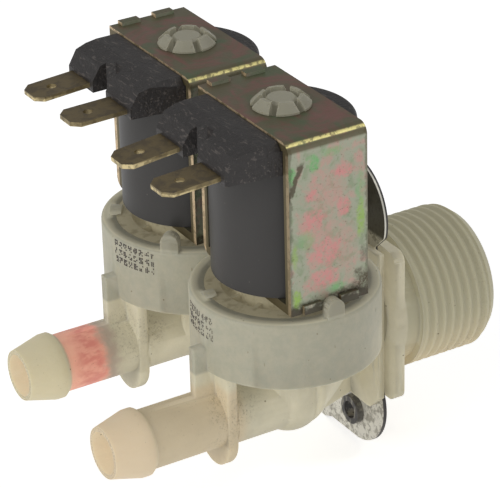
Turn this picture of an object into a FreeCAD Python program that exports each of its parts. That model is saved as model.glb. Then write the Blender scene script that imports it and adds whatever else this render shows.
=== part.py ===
import FreeCAD
import Part
import math
import os
from FreeCAD import Vector as V

# Double solenoid valve of an ice maker. Millimetres, +Z up, +X out of the threaded inlet.
# The origin lies on the inlet axis, in the outer face of the mounting bracket,
# midway between the bracket's two tapped holes.

# Mounting bracket, a flat sheet whose outer face is the plane X = 0
bracket_t = 0.7
bracket_hole_pitch = 43.0
bracket_tap_d = 3.3
bracket_boss_d = 5.4
bracket_boss_len = 1.3
upper_ear_r = 9.7
upper_ear_z = 19.3
upper_ear_foot_z = 13.9
lower_ear_r = 9.2
lower_ear_z = 18.1
ear_chin_rise = 2.7
ear_chin_w = 2.8
ear_corner_r = 1.6
ear_neck_w = 12.8
bracket_ring_d = 18.6
bracket_slot_play = 0.15
tail_y = 14.0
tail_bend_y = 7.8
tail_slope_w = 2.4
tail_top_z = 18.5
tail_drop = 0.95

# Inlet, a G3/4 male thread; the thread itself is a plain cylinder at its major diameter
thread_major_d = 26.44
thread_len = 16.1
relief_len = 2.6
thread_chamfer_len = 1.9
thread_chamfer_depth = 1.5
relief_depth = 1.3
mouth_wall = 2.6
mouth_depth = 3.8
mouth_step = 1.0
inlet_bore_len = 14.8
throat_d = 12.0

# Flange, bracket slot and the collar plate behind it
slot_front_play = 0.3
slot_back_play = 0.2
flange_t = 2.1
flange_w = 22.5
flange_top = 14.0
flange_bottom = 15.2
flange_corner_r = 1.8
neck_d = 15.2
collar_t = 1.4
collar_w = 19.4
collar_top = 14.0
collar_bottom = 17.2
collar_corner = 2.6

# Coil: winding, former and overmoulding; the yokes and wells are sized from it
winding_d = 20.6
former_bore_d = 10.8
former_wall = 0.8
former_lip = 0.6
former_flange_t = 1.0
coil_skin = 1.25
coil_end_wall = 1.0
coil_gap = 0.06
coil_edge_r = 0.9
fit_play = 0.05

# Yokes, two bent plates keyed together round each coil
yoke_w = 14.74
yoke_h = 30.51
yoke_t = 1.6
yoke_bend_r = 1.9
yoke_side_gap = 0.1
yoke_pair_gap = 2.5
yoke_key_w = 3.4
yoke_key_pitch = 7.0
yoke_key_proud = 0.6
yoke_top_key_w = 3.6
yoke_top_key_pitch = 6.6
yoke_top_key_shift = -0.6
yoke_key_play = 0.04

# Wells, one per coil
rim_z = 18.65
rim_to_yoke = 1.3
rim_inset = 0.4
rim_round = 0.7
well_wall = 2.6
well_setback = 8.1
well_bottom_z = 6.8
floor_t = 2.0
ledge_depth = 5.25
ledge_w = 2.2
seat_lip_drop = 0.2
seat_lip_d = 8.4
seat_bore_d = 6.0
riser_d = 5.2
riser_wall_gap = 0.7

# Tabs and lugs on the well rims
tab_w = 3.1
tab_t = 1.9
tab_rise = 3.15
tab_play = 0.1
back_tab_inset = 0.5
lug_t = 1.0
lug_rise = 0.7
lug_w = {"front": 3.6, "rear": 7.0}
lug_angle = {"front": 170.0, "rear": 145.0}
back_tab_angle = 225.0

# Manifold and outlet elbows
duct_od = 15.0
duct_bore_d = 10.0
duct_z = -1.5
duct_start_x = -4.7
duct_overrun = 1.9
web_t = 2.5
keel_t = 1.6
keel_len = 21.0
keel_low_len = 15.5
keel_low_rise = 4.0
keel_end_rise = 9.2
elbow_d = 12.4
elbow_drop = 0.3

# Outlet spigots, their places counted from the axes of the wells
outlet_z = -3.2
spigot_len = 35.5
spigot_d = 10.3
spigot_root_d = 10.8
barb_d = 11.8
barb_nose_len = 5.4
barb_land_len = 1.3
barb_back_len = 1.0
outlet_tip_d = 9.0
outlet_bore_d = 7.4
outlet_bore_len = 19.5
outlet_duct_d = 6.0
rib_reach = 12.5
rib_t = 2.2
rib_w = 10.4
rib_bottom_z = -11.9
rib_round = 0.8
gusset_reach = 2.1
gusset_top_z = 11.0
gusset_t = 1.8

# Terminal block on the coil moulding
block_reach = 17.1
block_drop = 4.2
block_face_h = 2.0
block_slope_len = 1.6
block_slope_rise = 0.3
block_crest_len = 5.5
block_crest_rise = 1.35
block_face_inset = 1.4
block_shoulder = 0.9
block_shoulder_h = 1.6
block_notch_w = 4.6
block_notch_len = 3.9
block_notch_chamfer = 1.2
block_plate_gap = 0.15

# Blade terminals
blade_w = 6.3
blade_t = 0.8
blade_inset = 4.3
blade_len = 9.9
blade_root_len = 5.6
blade_rise = 1.45
blade_overlap = 0.02
blade_hole_d = 1.7
blade_hole_from_tip = 4.3
blade_chamfer = 1.4
blade_droop = {"front_inner": 5.5, "front_outer": 3.0, "rear_inner": 1.0, "rear_outer": 3.5}

# Guide tube with its snap crown
guide_od = 9.1
guide_bore_d = 7.7
guide_roof_depth = 4.46
guide_roof_t = 1.4
guide_rim_play = 0.1
guide_rim_drop = 0.05
guide_rim_w = 2.6
guide_groove_w = 2.2
guide_groove_depth = 1.3
guide_floor_t = 1.2
guide_ribs = 12
guide_rib_t = 0.8
guide_rib_drop = 0.25
hub_wall = 1.4
hub_roof = 1.6
hub_chamfer = 0.6
crown_lip_w = 0.43
crown_lip_t = 0.35
crown_h = 1.7
crown_taper = 1.4
crown_wall = 0.55
crown_gap = 0.45
crown_post_drop = 0.35
crown_post_chamfer = 0.4
crown_slot_w = 1.25
crown_slots = 6
crown_slot_depth = 4.0
crown_slot_angle = {"front": 42.0, "rear": 24.0}
plate_hole_play = 0.1

# Flux sleeves
sleeve_wall = 0.65
sleeve_play = 0.1
sleeve_lower_len = 10.0
sleeve_upper_len = 8.0

# Plunger with its seal and spring
plunger_play = 0.1
plunger_seat_gap = 0.02
plunger_stroke_room = 4.0
plunger_groove_w = 1.2
plunger_groove_depth = 0.6
plunger_well_d = 5.2
plunger_well_depth = 8.0
tip_d = 3.9
tip_depth = 2.0
tip_proud = 0.75
tip_taper = 0.5
spring_wire_d = 0.45
spring_d = 4.3
spring_turns = 6
spring_play = 0.05

# Diaphragm and its insert
diaphragm_rim_t = 1.8
diaphragm_web_t = 0.8
diaphragm_web_rise = 0.6
diaphragm_pad_inset = 0.1
diaphragm_play = 0.05
insert_cavity_play = 0.6
insert_hub_d = 5.0
insert_hub_play = 0.1
insert_hub_below = 0.3
insert_disc_t = 1.2
insert_nozzle_d = 3.2
insert_nozzle_foot = 0.5
insert_nozzle_h = 0.8
pilot_d = 1.0
bleed_d = 0.8
bleed_inset = 1.4

# Flow regulators in the outlets
regulator_len = 10.5
regulator_depth = 8.4
regulator_play = 0.05
regulator_wall = 0.9
regulator_bar_w = 1.2
regulator_bar_t = 1.0
regulator_bar_inset = 0.2
regulator_ring_t = 2.2
regulator_ring_bore_d = 2.6

# Inlet strainer
strainer_rim_t = 1.2
strainer_d = 14.4
strainer_wall = 0.8
strainer_len = 10.6
strainer_floor_t = 1.0
strainer_windows = 8
strainer_window_w = 3.2
strainer_window_margin = 0.8
strainer_play = 0.1

# Sizes that follow from the ones above, first along the inlet
flange_x = slot_front_play
thread_end_x = flange_x + flange_t + relief_len + thread_len
thread_start_x = flange_x + flange_t + relief_len
relief_d = thread_major_d - 2 * relief_depth
mouth_d = thread_major_d - 2 * mouth_wall
inlet_bore_d = mouth_d - 2 * mouth_step
inlet_bore_floor_x = thread_end_x - inlet_bore_len
collar_front_x = -bracket_t - slot_back_play
collar_x = collar_front_x - collar_t

# Coil and yokes across
former_d = winding_d + 2 * former_lip
coil_cavity_d = former_d + 2 * fit_play
coil_d = coil_cavity_d + 2 * coil_skin
yoke_depth = coil_d + 2 * (yoke_side_gap + yoke_t)
well_pitch = yoke_depth + yoke_pair_gap
SIDES = {"front": -well_pitch / 2, "rear": well_pitch / 2}
plate_hole_d = guide_od + 2 * plate_hole_play
sleeve_id = guide_od + 2 * sleeve_play
sleeve_od = sleeve_id + 2 * sleeve_wall

# Wells
well_id = yoke_depth - 2 * rim_inset
well_od = well_id + 2 * well_wall
well_x = -well_od / 2 - well_setback
chamber_d = well_id - 2 * ledge_w
riser_offset = chamber_d / 2 - riser_d / 2 - riser_wall_gap
floor_z = well_bottom_z + floor_t
ledge_z = rim_z - ledge_depth
seat_lip_z = ledge_z - seat_lip_drop
rim_bottom_z = ledge_z + diaphragm_rim_t
tab_top_z = rim_z + tab_rise

# Heights of the coil
yoke_bottom_z = rim_z + rim_to_yoke
yoke_top_z = yoke_bottom_z + yoke_h
yoke_floor_z = yoke_bottom_z + yoke_t
yoke_roof_z = yoke_top_z - yoke_t
coil_bottom_z = yoke_floor_z + coil_gap
coil_top_z = yoke_roof_z - coil_gap

# Terminal block and blades
block_face_x = well_x - block_reach
block_bottom_z = coil_top_z - block_drop
block_half_w = coil_d / 2 - block_face_inset
blade_top_z = block_bottom_z + blade_rise
blade_offset = block_half_w - blade_inset

# Guide tube, insert and plunger
guide_base_z = rim_bottom_z + diaphragm_play
guide_rim_d = well_id - 2 * guide_rim_play
guide_rim_z = rim_z - guide_rim_drop
groove_od = guide_rim_d - 2 * guide_rim_w
hub_d = groove_od - 2 * guide_groove_w
hub_cavity_d = hub_d - 2 * hub_wall
groove_z = guide_rim_z - guide_groove_depth
lower_cavity_d = groove_od - 2 * guide_floor_t
lower_roof_z = groove_z - guide_floor_t
hub_top_z = yoke_bottom_z - fit_play
hub_roof_z = hub_top_z - hub_roof
guide_roof_z = yoke_top_z - guide_roof_depth
insert_disc_d = hub_cavity_d - 2 * insert_cavity_play
diaphragm_pad_d = insert_disc_d - 2 * diaphragm_pad_inset
bleed_offset = insert_disc_d / 2 - bleed_inset
insert_disc_z = rim_bottom_z + diaphragm_play
nozzle_top_z = insert_disc_z + insert_disc_t + insert_nozzle_h
plunger_bottom_z = nozzle_top_z + plunger_seat_gap + tip_proud
plunger_top_z = guide_roof_z - plunger_stroke_room

# Outlets
outlet_tip_x = well_x - spigot_len
barb_front_x = outlet_tip_x + barb_nose_len
barb_rear_x = barb_front_x + barb_land_len
outlet_bore_end_x = outlet_tip_x + outlet_bore_len
rib_back_x = well_x - rib_reach
gusset_x = well_x - well_od / 2 - gusset_reach
regulator_front_x = outlet_tip_x + regulator_depth

os.makedirs("parts", exist_ok=True)


def cyl_z(d, z0, z1, x=0.0, y=0.0):
    """Upright cylinder of diameter d between two heights."""
    return Part.makeCylinder(d / 2, z1 - z0, V(x, y, z0))


def cyl_x(d, x0, x1, y=0.0, z=0.0):
    """Cylinder of diameter d along X between two stations."""
    return Part.makeCylinder(d / 2, x1 - x0, V(x0, y, z), V(1, 0, 0))


def box(x0, x1, y0, y1, z0, z1):
    """Rectangular block between two corners."""
    return Part.makeBox(x1 - x0, y1 - y0, z1 - z0, V(x0, y0, z0))


def face_of(points):
    """Flat face inside a closed polygon."""
    return Part.Face(Part.makePolygon(points + [points[0]]))


def revolve_z(profile, x=0.0, y=0.0):
    """Solid of revolution about an upright axis; the profile is a list of (radius, height)."""
    face = face_of([V(r, 0, z) for r, z in profile])
    solid = face.revolve(V(0, 0, 0), V(0, 0, 1), 360)
    solid.translate(V(x, y, 0))
    return solid


def revolve_x(profile, y=0.0, z=0.0):
    """Solid of revolution about an axis along X; the profile is a list of (station, radius)."""
    face = face_of([V(s, r, 0) for s, r in profile])
    solid = face.revolve(V(0, 0, 0), V(1, 0, 0), 360)
    solid.translate(V(0, y, z))
    return solid


def plate_yz(points, x0, x1):
    """Plate across X whose outline is a list of (y, z)."""
    return face_of([V(x0, y, z) for y, z in points]).extrude(V(x1 - x0, 0, 0))


def plate_xz(points, y0, y1):
    """Plate across Y whose outline is a list of (x, z)."""
    return face_of([V(x, y0, z) for x, z in points]).extrude(V(0, y1 - y0, 0))


def plate_xy(points, z0, z1):
    """Level plate whose outline is a list of (x, y)."""
    return face_of([V(x, y, z0) for x, y in points]).extrude(V(0, 0, z1 - z0))


def edges_at(shape, test):
    """Edges whose both ends, or whose centre for a closed edge, pass the test."""
    found = []
    for edge in shape.Edges:
        ends = [v.Point for v in edge.Vertexes]
        if len(ends) == 1:
            ends = [edge.CenterOfMass]
        if all(test(p) for p in ends):
            found.append(edge)
    return found


def parallel_edges(shape, direction):
    """Straight edges that run along a direction."""
    found = []
    for edge in shape.Edges:
        if isinstance(edge.Curve, Part.Line) and abs(abs(edge.Curve.Direction.dot(direction)) - 1) < 1e-6:
            found.append(edge)
    return found


def save(name, shape):
    """Writes one sub-part; a compound of one solid is written as that solid."""
    shape = shape.removeSplitter()
    if len(shape.Solids) == 1:
        shape = shape.Solids[0]
    shape.exportStep("parts/" + name + ".step")
    print(name, len(shape.Solids), shape.isValid(), round(shape.Volume, 2))


# Valve body

def inlet_outside():
    """Threaded inlet, its relief, the flange, the slot neck and the collar plate."""
    r_major = thread_major_d / 2
    chamfer_x = thread_end_x - thread_chamfer_len
    barrel = revolve_x([(flange_x, 0), (flange_x, relief_d / 2), (thread_start_x, relief_d / 2),
                        (thread_start_x, r_major), (chamfer_x, r_major),
                        (thread_end_x, r_major - thread_chamfer_depth), (thread_end_x, 0)])
    flange = box(flange_x, flange_x + flange_t, -flange_w / 2, flange_w / 2, -flange_bottom, flange_top)
    flange = flange.makeFillet(flange_corner_r, parallel_edges(flange, V(1, 0, 0)))
    neck = cyl_x(neck_d, collar_x, flange_x + flange_t)
    half = collar_w / 2
    low = -collar_bottom
    collar = plate_yz([(-half, collar_top), (-half, low + collar_corner), (-half + collar_corner, low),
                       (half - collar_corner, low), (half, low + collar_corner), (half, collar_top)],
                      collar_x, collar_front_x)
    return barrel.fuse([flange, neck, collar])


def duct(y):
    """Slanting round duct from behind the collar plate past the axis of one well."""
    start = V(duct_start_x, 0, duct_z)
    path = V(well_x, y, duct_z).sub(start)
    tube = Part.makeCylinder(duct_od / 2, path.Length + duct_overrun, start, path)
    return tube.makeFillet(duct_overrun / 2, edges_at(tube, lambda p: p.x < well_x))


def keel(y):
    """Upright web under one duct; its lower edge starts at the foot of the collar plate."""
    low = -collar_bottom
    outline = [(0, duct_z), (0, low), (keel_low_len, low + keel_low_rise), (keel_len, low + keel_end_rise),
               (keel_len, duct_z)]
    web = plate_xz(outline, -keel_t / 2, keel_t / 2)
    web.rotate(V(0, 0, 0), V(0, 0, 1), math.degrees(math.atan2(y, well_x - collar_x)))
    web.translate(V(collar_x, 0, 0))
    return web


def spigot(y):
    """Hose spigot with one barb, and the slightly thicker tube that carries it."""
    r = spigot_d / 2
    rb = barb_d / 2
    return revolve_x([(outlet_tip_x, 0), (outlet_tip_x, outlet_tip_d / 2), (barb_front_x, rb), (barb_rear_x, rb),
                      (barb_rear_x + barb_back_len, r), (rib_back_x, r), (rib_back_x, spigot_root_d / 2),
                      (well_x, spigot_root_d / 2), (well_x, 0)], y, outlet_z)


def support_rib(y):
    """Cross rib between the well floor and the spigot, with a half-round foot."""
    half = rib_w / 2
    x0 = rib_back_x - rib_t
    upright = box(x0, rib_back_x, y - half, y + half, rib_bottom_z + half, floor_z)
    foot = cyl_x(rib_w, x0, rib_back_x, y, rib_bottom_z + half)
    rib = upright.fuse(foot).removeSplitter()
    back = edges_at(rib, lambda p: abs(p.x - rib_back_x) < 1e-6 and p.z < floor_z - 1e-6)
    curved = [e for e in back if not isinstance(e.Curve, Part.Line)]
    return rib.makeFillet(rib_round, curved)


def gusset(y):
    """Fin that stands on the spigot and meets the side of the well."""
    return box(gusset_x, rib_back_x, y - gusset_t / 2, y + gusset_t / 2, outlet_z, gusset_top_z)


def elbow(y):
    """Round knee under the well, in which the outlet turns."""
    z = outlet_z - elbow_drop
    return cyl_z(elbow_d, z, floor_z, well_x, y).fuse(Part.makeSphere(elbow_d / 2, V(well_x, y, z)))


def rim_tab(y, angle, inner_r):
    """Half-round tab that rises from the rim; its flat inner face stands at the given radius."""
    base_z = rim_z - tab_w
    round_z = tab_top_z - tab_w / 2
    slab = box(inner_r, inner_r + tab_t, -tab_w / 2, tab_w / 2, base_z, round_z)
    tab = slab.fuse(cyl_x(tab_w, inner_r, inner_r + tab_t, 0, round_z))
    tab.rotate(V(0, 0, 0), V(0, 0, 1), angle)
    tab.translate(V(well_x, y, 0))
    return tab


def rim_lug(side, y):
    """Low round lug that reaches a little over the guide tube's rim."""
    r0 = well_id / 2 - lug_t
    r1 = well_id / 2 + lug_t
    width = lug_w[side]
    pad = cyl_x(width, r0, r1, 0, rim_z + lug_rise - width / 2)
    pad.rotate(V(0, 0, 0), V(0, 0, 1), lug_angle[side])
    pad.translate(V(well_x, y, 0))
    return pad.cut(cyl_z(well_id, 0, rim_z + fit_play, well_x, y))


def well_wall_outside(y):
    """Outside of one well, with a rounded rim."""
    wall = cyl_z(well_od, well_bottom_z, rim_z, well_x, y)
    return wall.makeFillet(rim_round, edges_at(wall, lambda p: abs(p.z - rim_z) < 1e-6))


def well_cavity(y):
    """Inside of one well: the seat for the guide tube, the ledge and the ring chamber."""
    r = well_id / 2
    return revolve_z([(seat_lip_d / 2, floor_z), (chamber_d / 2, floor_z), (chamber_d / 2, ledge_z),
                      (r, ledge_z), (r, tab_top_z), (0, tab_top_z), (0, seat_lip_z),
                      (seat_lip_d / 2, seat_lip_z)], well_x, y)


def outlet_passage(y):
    """Water way from the seat down to the outlet and out through the spigot."""
    down = cyl_z(seat_bore_d, outlet_z, rim_z, well_x, y)
    across = cyl_x(outlet_duct_d, outlet_bore_end_x, well_x, y, outlet_z)
    knee = Part.makeSphere(seat_bore_d / 2, V(well_x, y, outlet_z))
    mouth = cyl_x(outlet_bore_d, outlet_tip_x, outlet_bore_end_x, y, outlet_z)
    return down.fuse([across, knee, mouth])


def riser(y):
    """Passage from the slanting duct up into the ring chamber."""
    start = V(duct_start_x, 0, 0)
    along = start.sub(V(well_x, y, 0)).normalize()
    spot = V(well_x, y, 0).add(along.multiply(riser_offset))
    return cyl_z(riser_d, duct_z, ledge_z, spot.x, spot.y)


def feed(y):
    """Bore of the slanting duct, which ends under the riser."""
    start = V(duct_start_x, 0, duct_z)
    path = V(well_x, y, duct_z).sub(start)
    bore = Part.makeCylinder(duct_bore_d / 2, path.Length - riser_offset, start, path)
    return bore.fuse(Part.makeSphere(duct_bore_d / 2, start))


def valve_body():
    """The whole moulding, first its outside and then its water ways."""
    pieces = []
    for side, y in SIDES.items():
        pieces.append(well_wall_outside(y))
        pieces.append(spigot(y))
        pieces.append(support_rib(y))
        pieces.append(gusset(y))
        pieces.append(elbow(y))
        pieces.append(duct(y))
        pieces.append(keel(y))
    pieces.append(cyl_x(duct_od, duct_start_x, collar_x, 0, duct_z))
    junction = Part.makeSphere(duct_od / 2, V(duct_start_x, 0, duct_z))
    pieces.append(junction.common(box(well_x, collar_x, -duct_od, duct_od, -duct_od, duct_od)))
    pieces.append(box(well_x, collar_x, -web_t / 2, web_t / 2, duct_z, collar_top))
    body = inlet_outside().fuse(pieces)
    for side, y in SIDES.items():
        body = body.cut(well_cavity(y))
    body = body.fuse([rim_tab(SIDES["front"], 270, yoke_depth / 2 + tab_play),
                      rim_tab(SIDES["rear"], back_tab_angle, well_id / 2 + back_tab_inset),
                      rim_lug("front", SIDES["front"]), rim_lug("rear", SIDES["rear"])])
    cuts = [cyl_x(mouth_d, thread_end_x - mouth_depth, thread_end_x + 1),
            cyl_x(inlet_bore_d, inlet_bore_floor_x, thread_end_x),
            cyl_x(throat_d, duct_start_x, inlet_bore_floor_x + 1)]
    for side, y in SIDES.items():
        cuts += [outlet_passage(y), riser(y), feed(y)]
    return body.cut(cuts)


# Bracket

def upper_ear():
    """Round ear with a narrowing chin towards the flange."""
    disc = cyl_x(2 * upper_ear_r, -bracket_t, 0, 0, upper_ear_z)
    half = ear_neck_w / 2
    cheek = half + 2 * ear_chin_w
    cheek_z = upper_ear_foot_z + 2 * ear_chin_rise
    top_z = upper_ear_z + upper_ear_r
    keep = plate_yz([(-half, upper_ear_foot_z), (half, upper_ear_foot_z), (cheek, cheek_z), (cheek, top_z),
                     (-cheek, top_z), (-cheek, cheek_z)], -bracket_t, 0)
    disc = disc.common(keep)
    middle_z = upper_ear_foot_z + ear_chin_rise
    corners = edges_at(disc, lambda p: abs(p.z - middle_z) < ear_chin_rise / 2)
    return disc.makeFillet(ear_corner_r, corners)


def bracket():
    """Sheet with two round ears, a slot that opens to the rear and two extruded tapped holes."""
    x0 = -bracket_t
    neck = ear_neck_w / 2
    plate = cyl_x(bracket_ring_d, x0, 0)
    plate = plate.fuse([box(x0, 0, -neck, neck, -lower_ear_z, upper_ear_z),
                        upper_ear(),
                        cyl_x(2 * lower_ear_r, x0, 0, 0, -lower_ear_z)])
    low = -lower_ear_z - lower_ear_r
    tail_low = low - tail_drop
    tail = plate_yz([(0, low), (tail_bend_y, low), (tail_bend_y + tail_slope_w, tail_low), (tail_y, tail_low),
                     (tail_y, -tail_top_z), (0, -tail_top_z)], x0, 0)
    plate = plate.fuse(tail)
    slot = neck_d / 2 + bracket_slot_play
    plate = plate.cut([cyl_x(2 * slot, 2 * x0, bracket_t),
                       box(2 * x0, bracket_t, 0, bracket_ring_d, -slot, slot)])
    for sign in (1, -1):
        z = sign * bracket_hole_pitch / 2
        plate = plate.fuse(cyl_x(bracket_boss_d, x0 - bracket_boss_len, x0, 0, z))
        plate = plate.cut(cyl_x(bracket_tap_d, 2 * x0 - bracket_boss_len, bracket_t, 0, z))
    return plate


# Yokes

def bent_strip(outline_x, y0, y1, z_flat0, z_flat1, leg_y0, leg_y1, leg_z, bend):
    """Flat strip with one leg at its end; bend gives the corner's place and outer radius."""
    flat = box(outline_x[0], outline_x[1], y0, y1, z_flat0, z_flat1)
    leg = box(outline_x[0], outline_x[1], leg_y0, leg_y1, leg_z[0], leg_z[1])
    plate = flat.fuse(leg).removeSplitter()
    by, bz = bend
    outer = edges_at(plate, lambda p: abs(p.y - by) < 1e-6 and abs(p.z - bz) < 1e-6)
    return plate.makeFillet(yoke_bend_r, outer)


def key_blocks(width, pitch, middle, y0, y1, z0, z1):
    """Pair of keys, or of the notches that take them when the width has play."""
    blocks = []
    for sign in (-1, 1):
        xc = middle + sign * pitch / 2
        blocks.append(box(xc - width / 2, xc + width / 2, y0, y1, z0, z1))
    return blocks


def top_keys(play, y0, y1, z0, z1):
    """Keys of the rear leg, which show in the top plate."""
    return key_blocks(yoke_top_key_w + 2 * play, yoke_top_key_pitch, well_x + yoke_top_key_shift, y0, y1, z0, z1)


def foot_keys(play, y0, y1, z0, z1):
    """Keys of the bottom plate, which show at the foot of the front leg."""
    return key_blocks(yoke_key_w + 2 * play, yoke_key_pitch, well_x, y0, y1, z0, z1)


def yoke_upper(y):
    """Top plate and front leg, with a hole for the snap crown and notches for the keys."""
    xs = (well_x - yoke_w / 2, well_x + yoke_w / 2)
    y0 = y - yoke_depth / 2
    y1 = y + yoke_depth / 2
    play = yoke_key_play
    plate = bent_strip(xs, y0, y1, yoke_roof_z, yoke_top_z, y0, y0 + yoke_t,
                       (yoke_bottom_z, yoke_top_z), (y0, yoke_top_z))
    holes = [cyl_z(plate_hole_d, yoke_roof_z - 1, yoke_top_z + 1, well_x, y)]
    holes += top_keys(play, y1 - yoke_t - play, y1 + 1, yoke_roof_z - 1, yoke_top_z + 1)
    holes += foot_keys(play, y0 - 1, y0 + yoke_t + 1, yoke_bottom_z - 1, yoke_floor_z + play)
    return plate.cut(holes)


def yoke_lower(y):
    """Bottom plate and rear leg; its four keys reach through the upper plate's notches."""
    xs = (well_x - yoke_w / 2, well_x + yoke_w / 2)
    y0 = y - yoke_depth / 2
    y1 = y + yoke_depth / 2
    plate = bent_strip(xs, y0 + yoke_t + yoke_key_play, y1, yoke_bottom_z, yoke_floor_z, y1 - yoke_t, y1,
                       (yoke_bottom_z, yoke_roof_z - yoke_key_play), (y1, yoke_bottom_z))
    keys = top_keys(0, y1 - yoke_t, y1, yoke_roof_z - 1, yoke_top_z + yoke_key_proud)
    keys += foot_keys(0, y0 - yoke_key_proud, y0 + yoke_t + 1, yoke_bottom_z, yoke_floor_z)
    plate = plate.fuse(keys)
    return plate.cut(cyl_z(sleeve_od + 2 * fit_play, yoke_bottom_z - 1, yoke_floor_z + 1, well_x, y))


# Coil

def block_outline():
    """Side view of the terminal block."""
    plate_x = well_x - yoke_w / 2 - block_plate_gap
    crest_z = coil_top_z + block_crest_rise
    return [(well_x, block_bottom_z), (block_face_x, block_bottom_z),
            (block_face_x, block_bottom_z + block_face_h),
            (block_face_x + block_slope_len, coil_top_z + block_slope_rise),
            (block_face_x + block_crest_len, crest_z), (plate_x, crest_z),
            (plate_x, coil_top_z), (well_x, coil_top_z)]


def block_end_outline(y):
    """View of the terminal block along X, with sloping shoulders."""
    half = coil_d / 2
    crest = half - block_shoulder - block_shoulder / 2
    crest_z = coil_top_z + block_crest_rise
    shoulder_z = crest_z - block_shoulder_h
    return [(y - half, block_bottom_z), (y + half, block_bottom_z), (y + half, shoulder_z),
            (y + crest, crest_z), (y - crest, crest_z), (y - half, shoulder_z)]


def terminal_block(y):
    """Block that carries the blades, with a notch between its two humps."""
    half = coil_d / 2 - block_plate_gap
    shoulder_x = well_x - yoke_w / 2
    plan = [(block_face_x, y - block_half_w), (shoulder_x, y - half), (well_x, y - half),
            (well_x, y + half), (shoulder_x, y + half), (block_face_x, y + block_half_w)]
    block = plate_xy(plan, block_bottom_z, coil_top_z + block_crest_rise)
    block = block.common(plate_xz(block_outline(), y - coil_d, y + coil_d))
    block = block.common(plate_yz(block_end_outline(y), block_face_x, well_x))
    notch_half = block_notch_w / 2
    notch_x = block_face_x + block_notch_len
    notch = box(block_face_x - block_notch_len, notch_x, y - notch_half, y + notch_half,
                block_bottom_z - block_drop, coil_top_z + block_drop)
    corners = edges_at(notch, lambda p: abs(p.x - notch_x) < 1e-6)
    upright = [e for e in corners if abs(e.Vertexes[0].Point.z - e.Vertexes[-1].Point.z) > 1e-6]
    return block.cut(notch.makeChamfer(block_notch_chamfer, upright))


def blade_set(side, y):
    """The two blades of one coil, the inner and the outer one."""
    outward = math.copysign(1, y)
    return {"inner": blade(y - outward * blade_offset, blade_droop[side + "_inner"]),
            "outer": blade(y + outward * blade_offset, blade_droop[side + "_outer"])}


def blade(y, droop):
    """Flat blade with chamfered tip corners and a detent hole; the free end droops a little."""
    half = blade_w / 2
    c = blade_chamfer
    z0 = blade_top_z - blade_t
    tip_x = block_face_x - blade_len
    plan = [(tip_x, y - half + c), (tip_x + c, y - half), (block_face_x, y - half),
            (block_face_x, y + half), (tip_x + c, y + half), (tip_x, y + half - c)]
    free = plate_xy(plan, z0, blade_top_z)
    free = free.cut(cyl_z(blade_hole_d, z0, blade_top_z, tip_x + blade_hole_from_tip, y))
    free.rotate(V(block_face_x, y, blade_top_z), V(0, 1, 0), -droop)
    root = box(block_face_x - blade_overlap, block_face_x + blade_root_len, y - half, y + half, z0, blade_top_z)
    return free.fuse(root)


def coil_moulding(side, y):
    """Dark overmould of the coil with its terminal block, hollow for the former and winding."""
    drum = cyl_z(coil_d, coil_bottom_z, coil_top_z, well_x, y)
    drum = drum.makeFillet(coil_edge_r, edges_at(drum, lambda p: abs(p.z - coil_top_z) < 1e-6))
    solid = drum.fuse(terminal_block(y))
    hollow = [cyl_z(former_bore_d + 2 * fit_play, coil_bottom_z, coil_top_z, well_x, y),
              cyl_z(coil_cavity_d, coil_bottom_z + coil_end_wall - fit_play,
                    coil_top_z - coil_end_wall + fit_play, well_x, y)]
    return solid.cut(hollow + list(blade_set(side, y).values()))


def former(y):
    """Spool with two flanges that carries the winding."""
    r_in = former_bore_d / 2
    r_out = r_in + former_wall
    r_fl = former_d / 2
    z0 = coil_bottom_z + coil_end_wall
    z1 = coil_top_z - coil_end_wall
    t = former_flange_t
    return revolve_z([(r_in, z0), (r_fl, z0), (r_fl, z0 + t), (r_out, z0 + t), (r_out, z1 - t),
                      (r_fl, z1 - t), (r_fl, z1), (r_in, z1)], well_x, y)


def winding(y):
    """Copper winding as one ring."""
    z0 = coil_bottom_z + coil_end_wall + former_flange_t + fit_play
    z1 = coil_top_z - coil_end_wall - former_flange_t - fit_play
    r_in = former_bore_d / 2 + former_wall + fit_play
    return revolve_z([(r_in, z0), (winding_d / 2, z0), (winding_d / 2, z1), (r_in, z1)], well_x, y)


def sleeve(y, z0, z1):
    """Steel flux sleeve round the guide tube."""
    return cyl_z(sleeve_od, z0, z1, well_x, y).cut(cyl_z(sleeve_id, z0, z1, well_x, y))


# Guide tube, plunger and diaphragm

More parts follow.
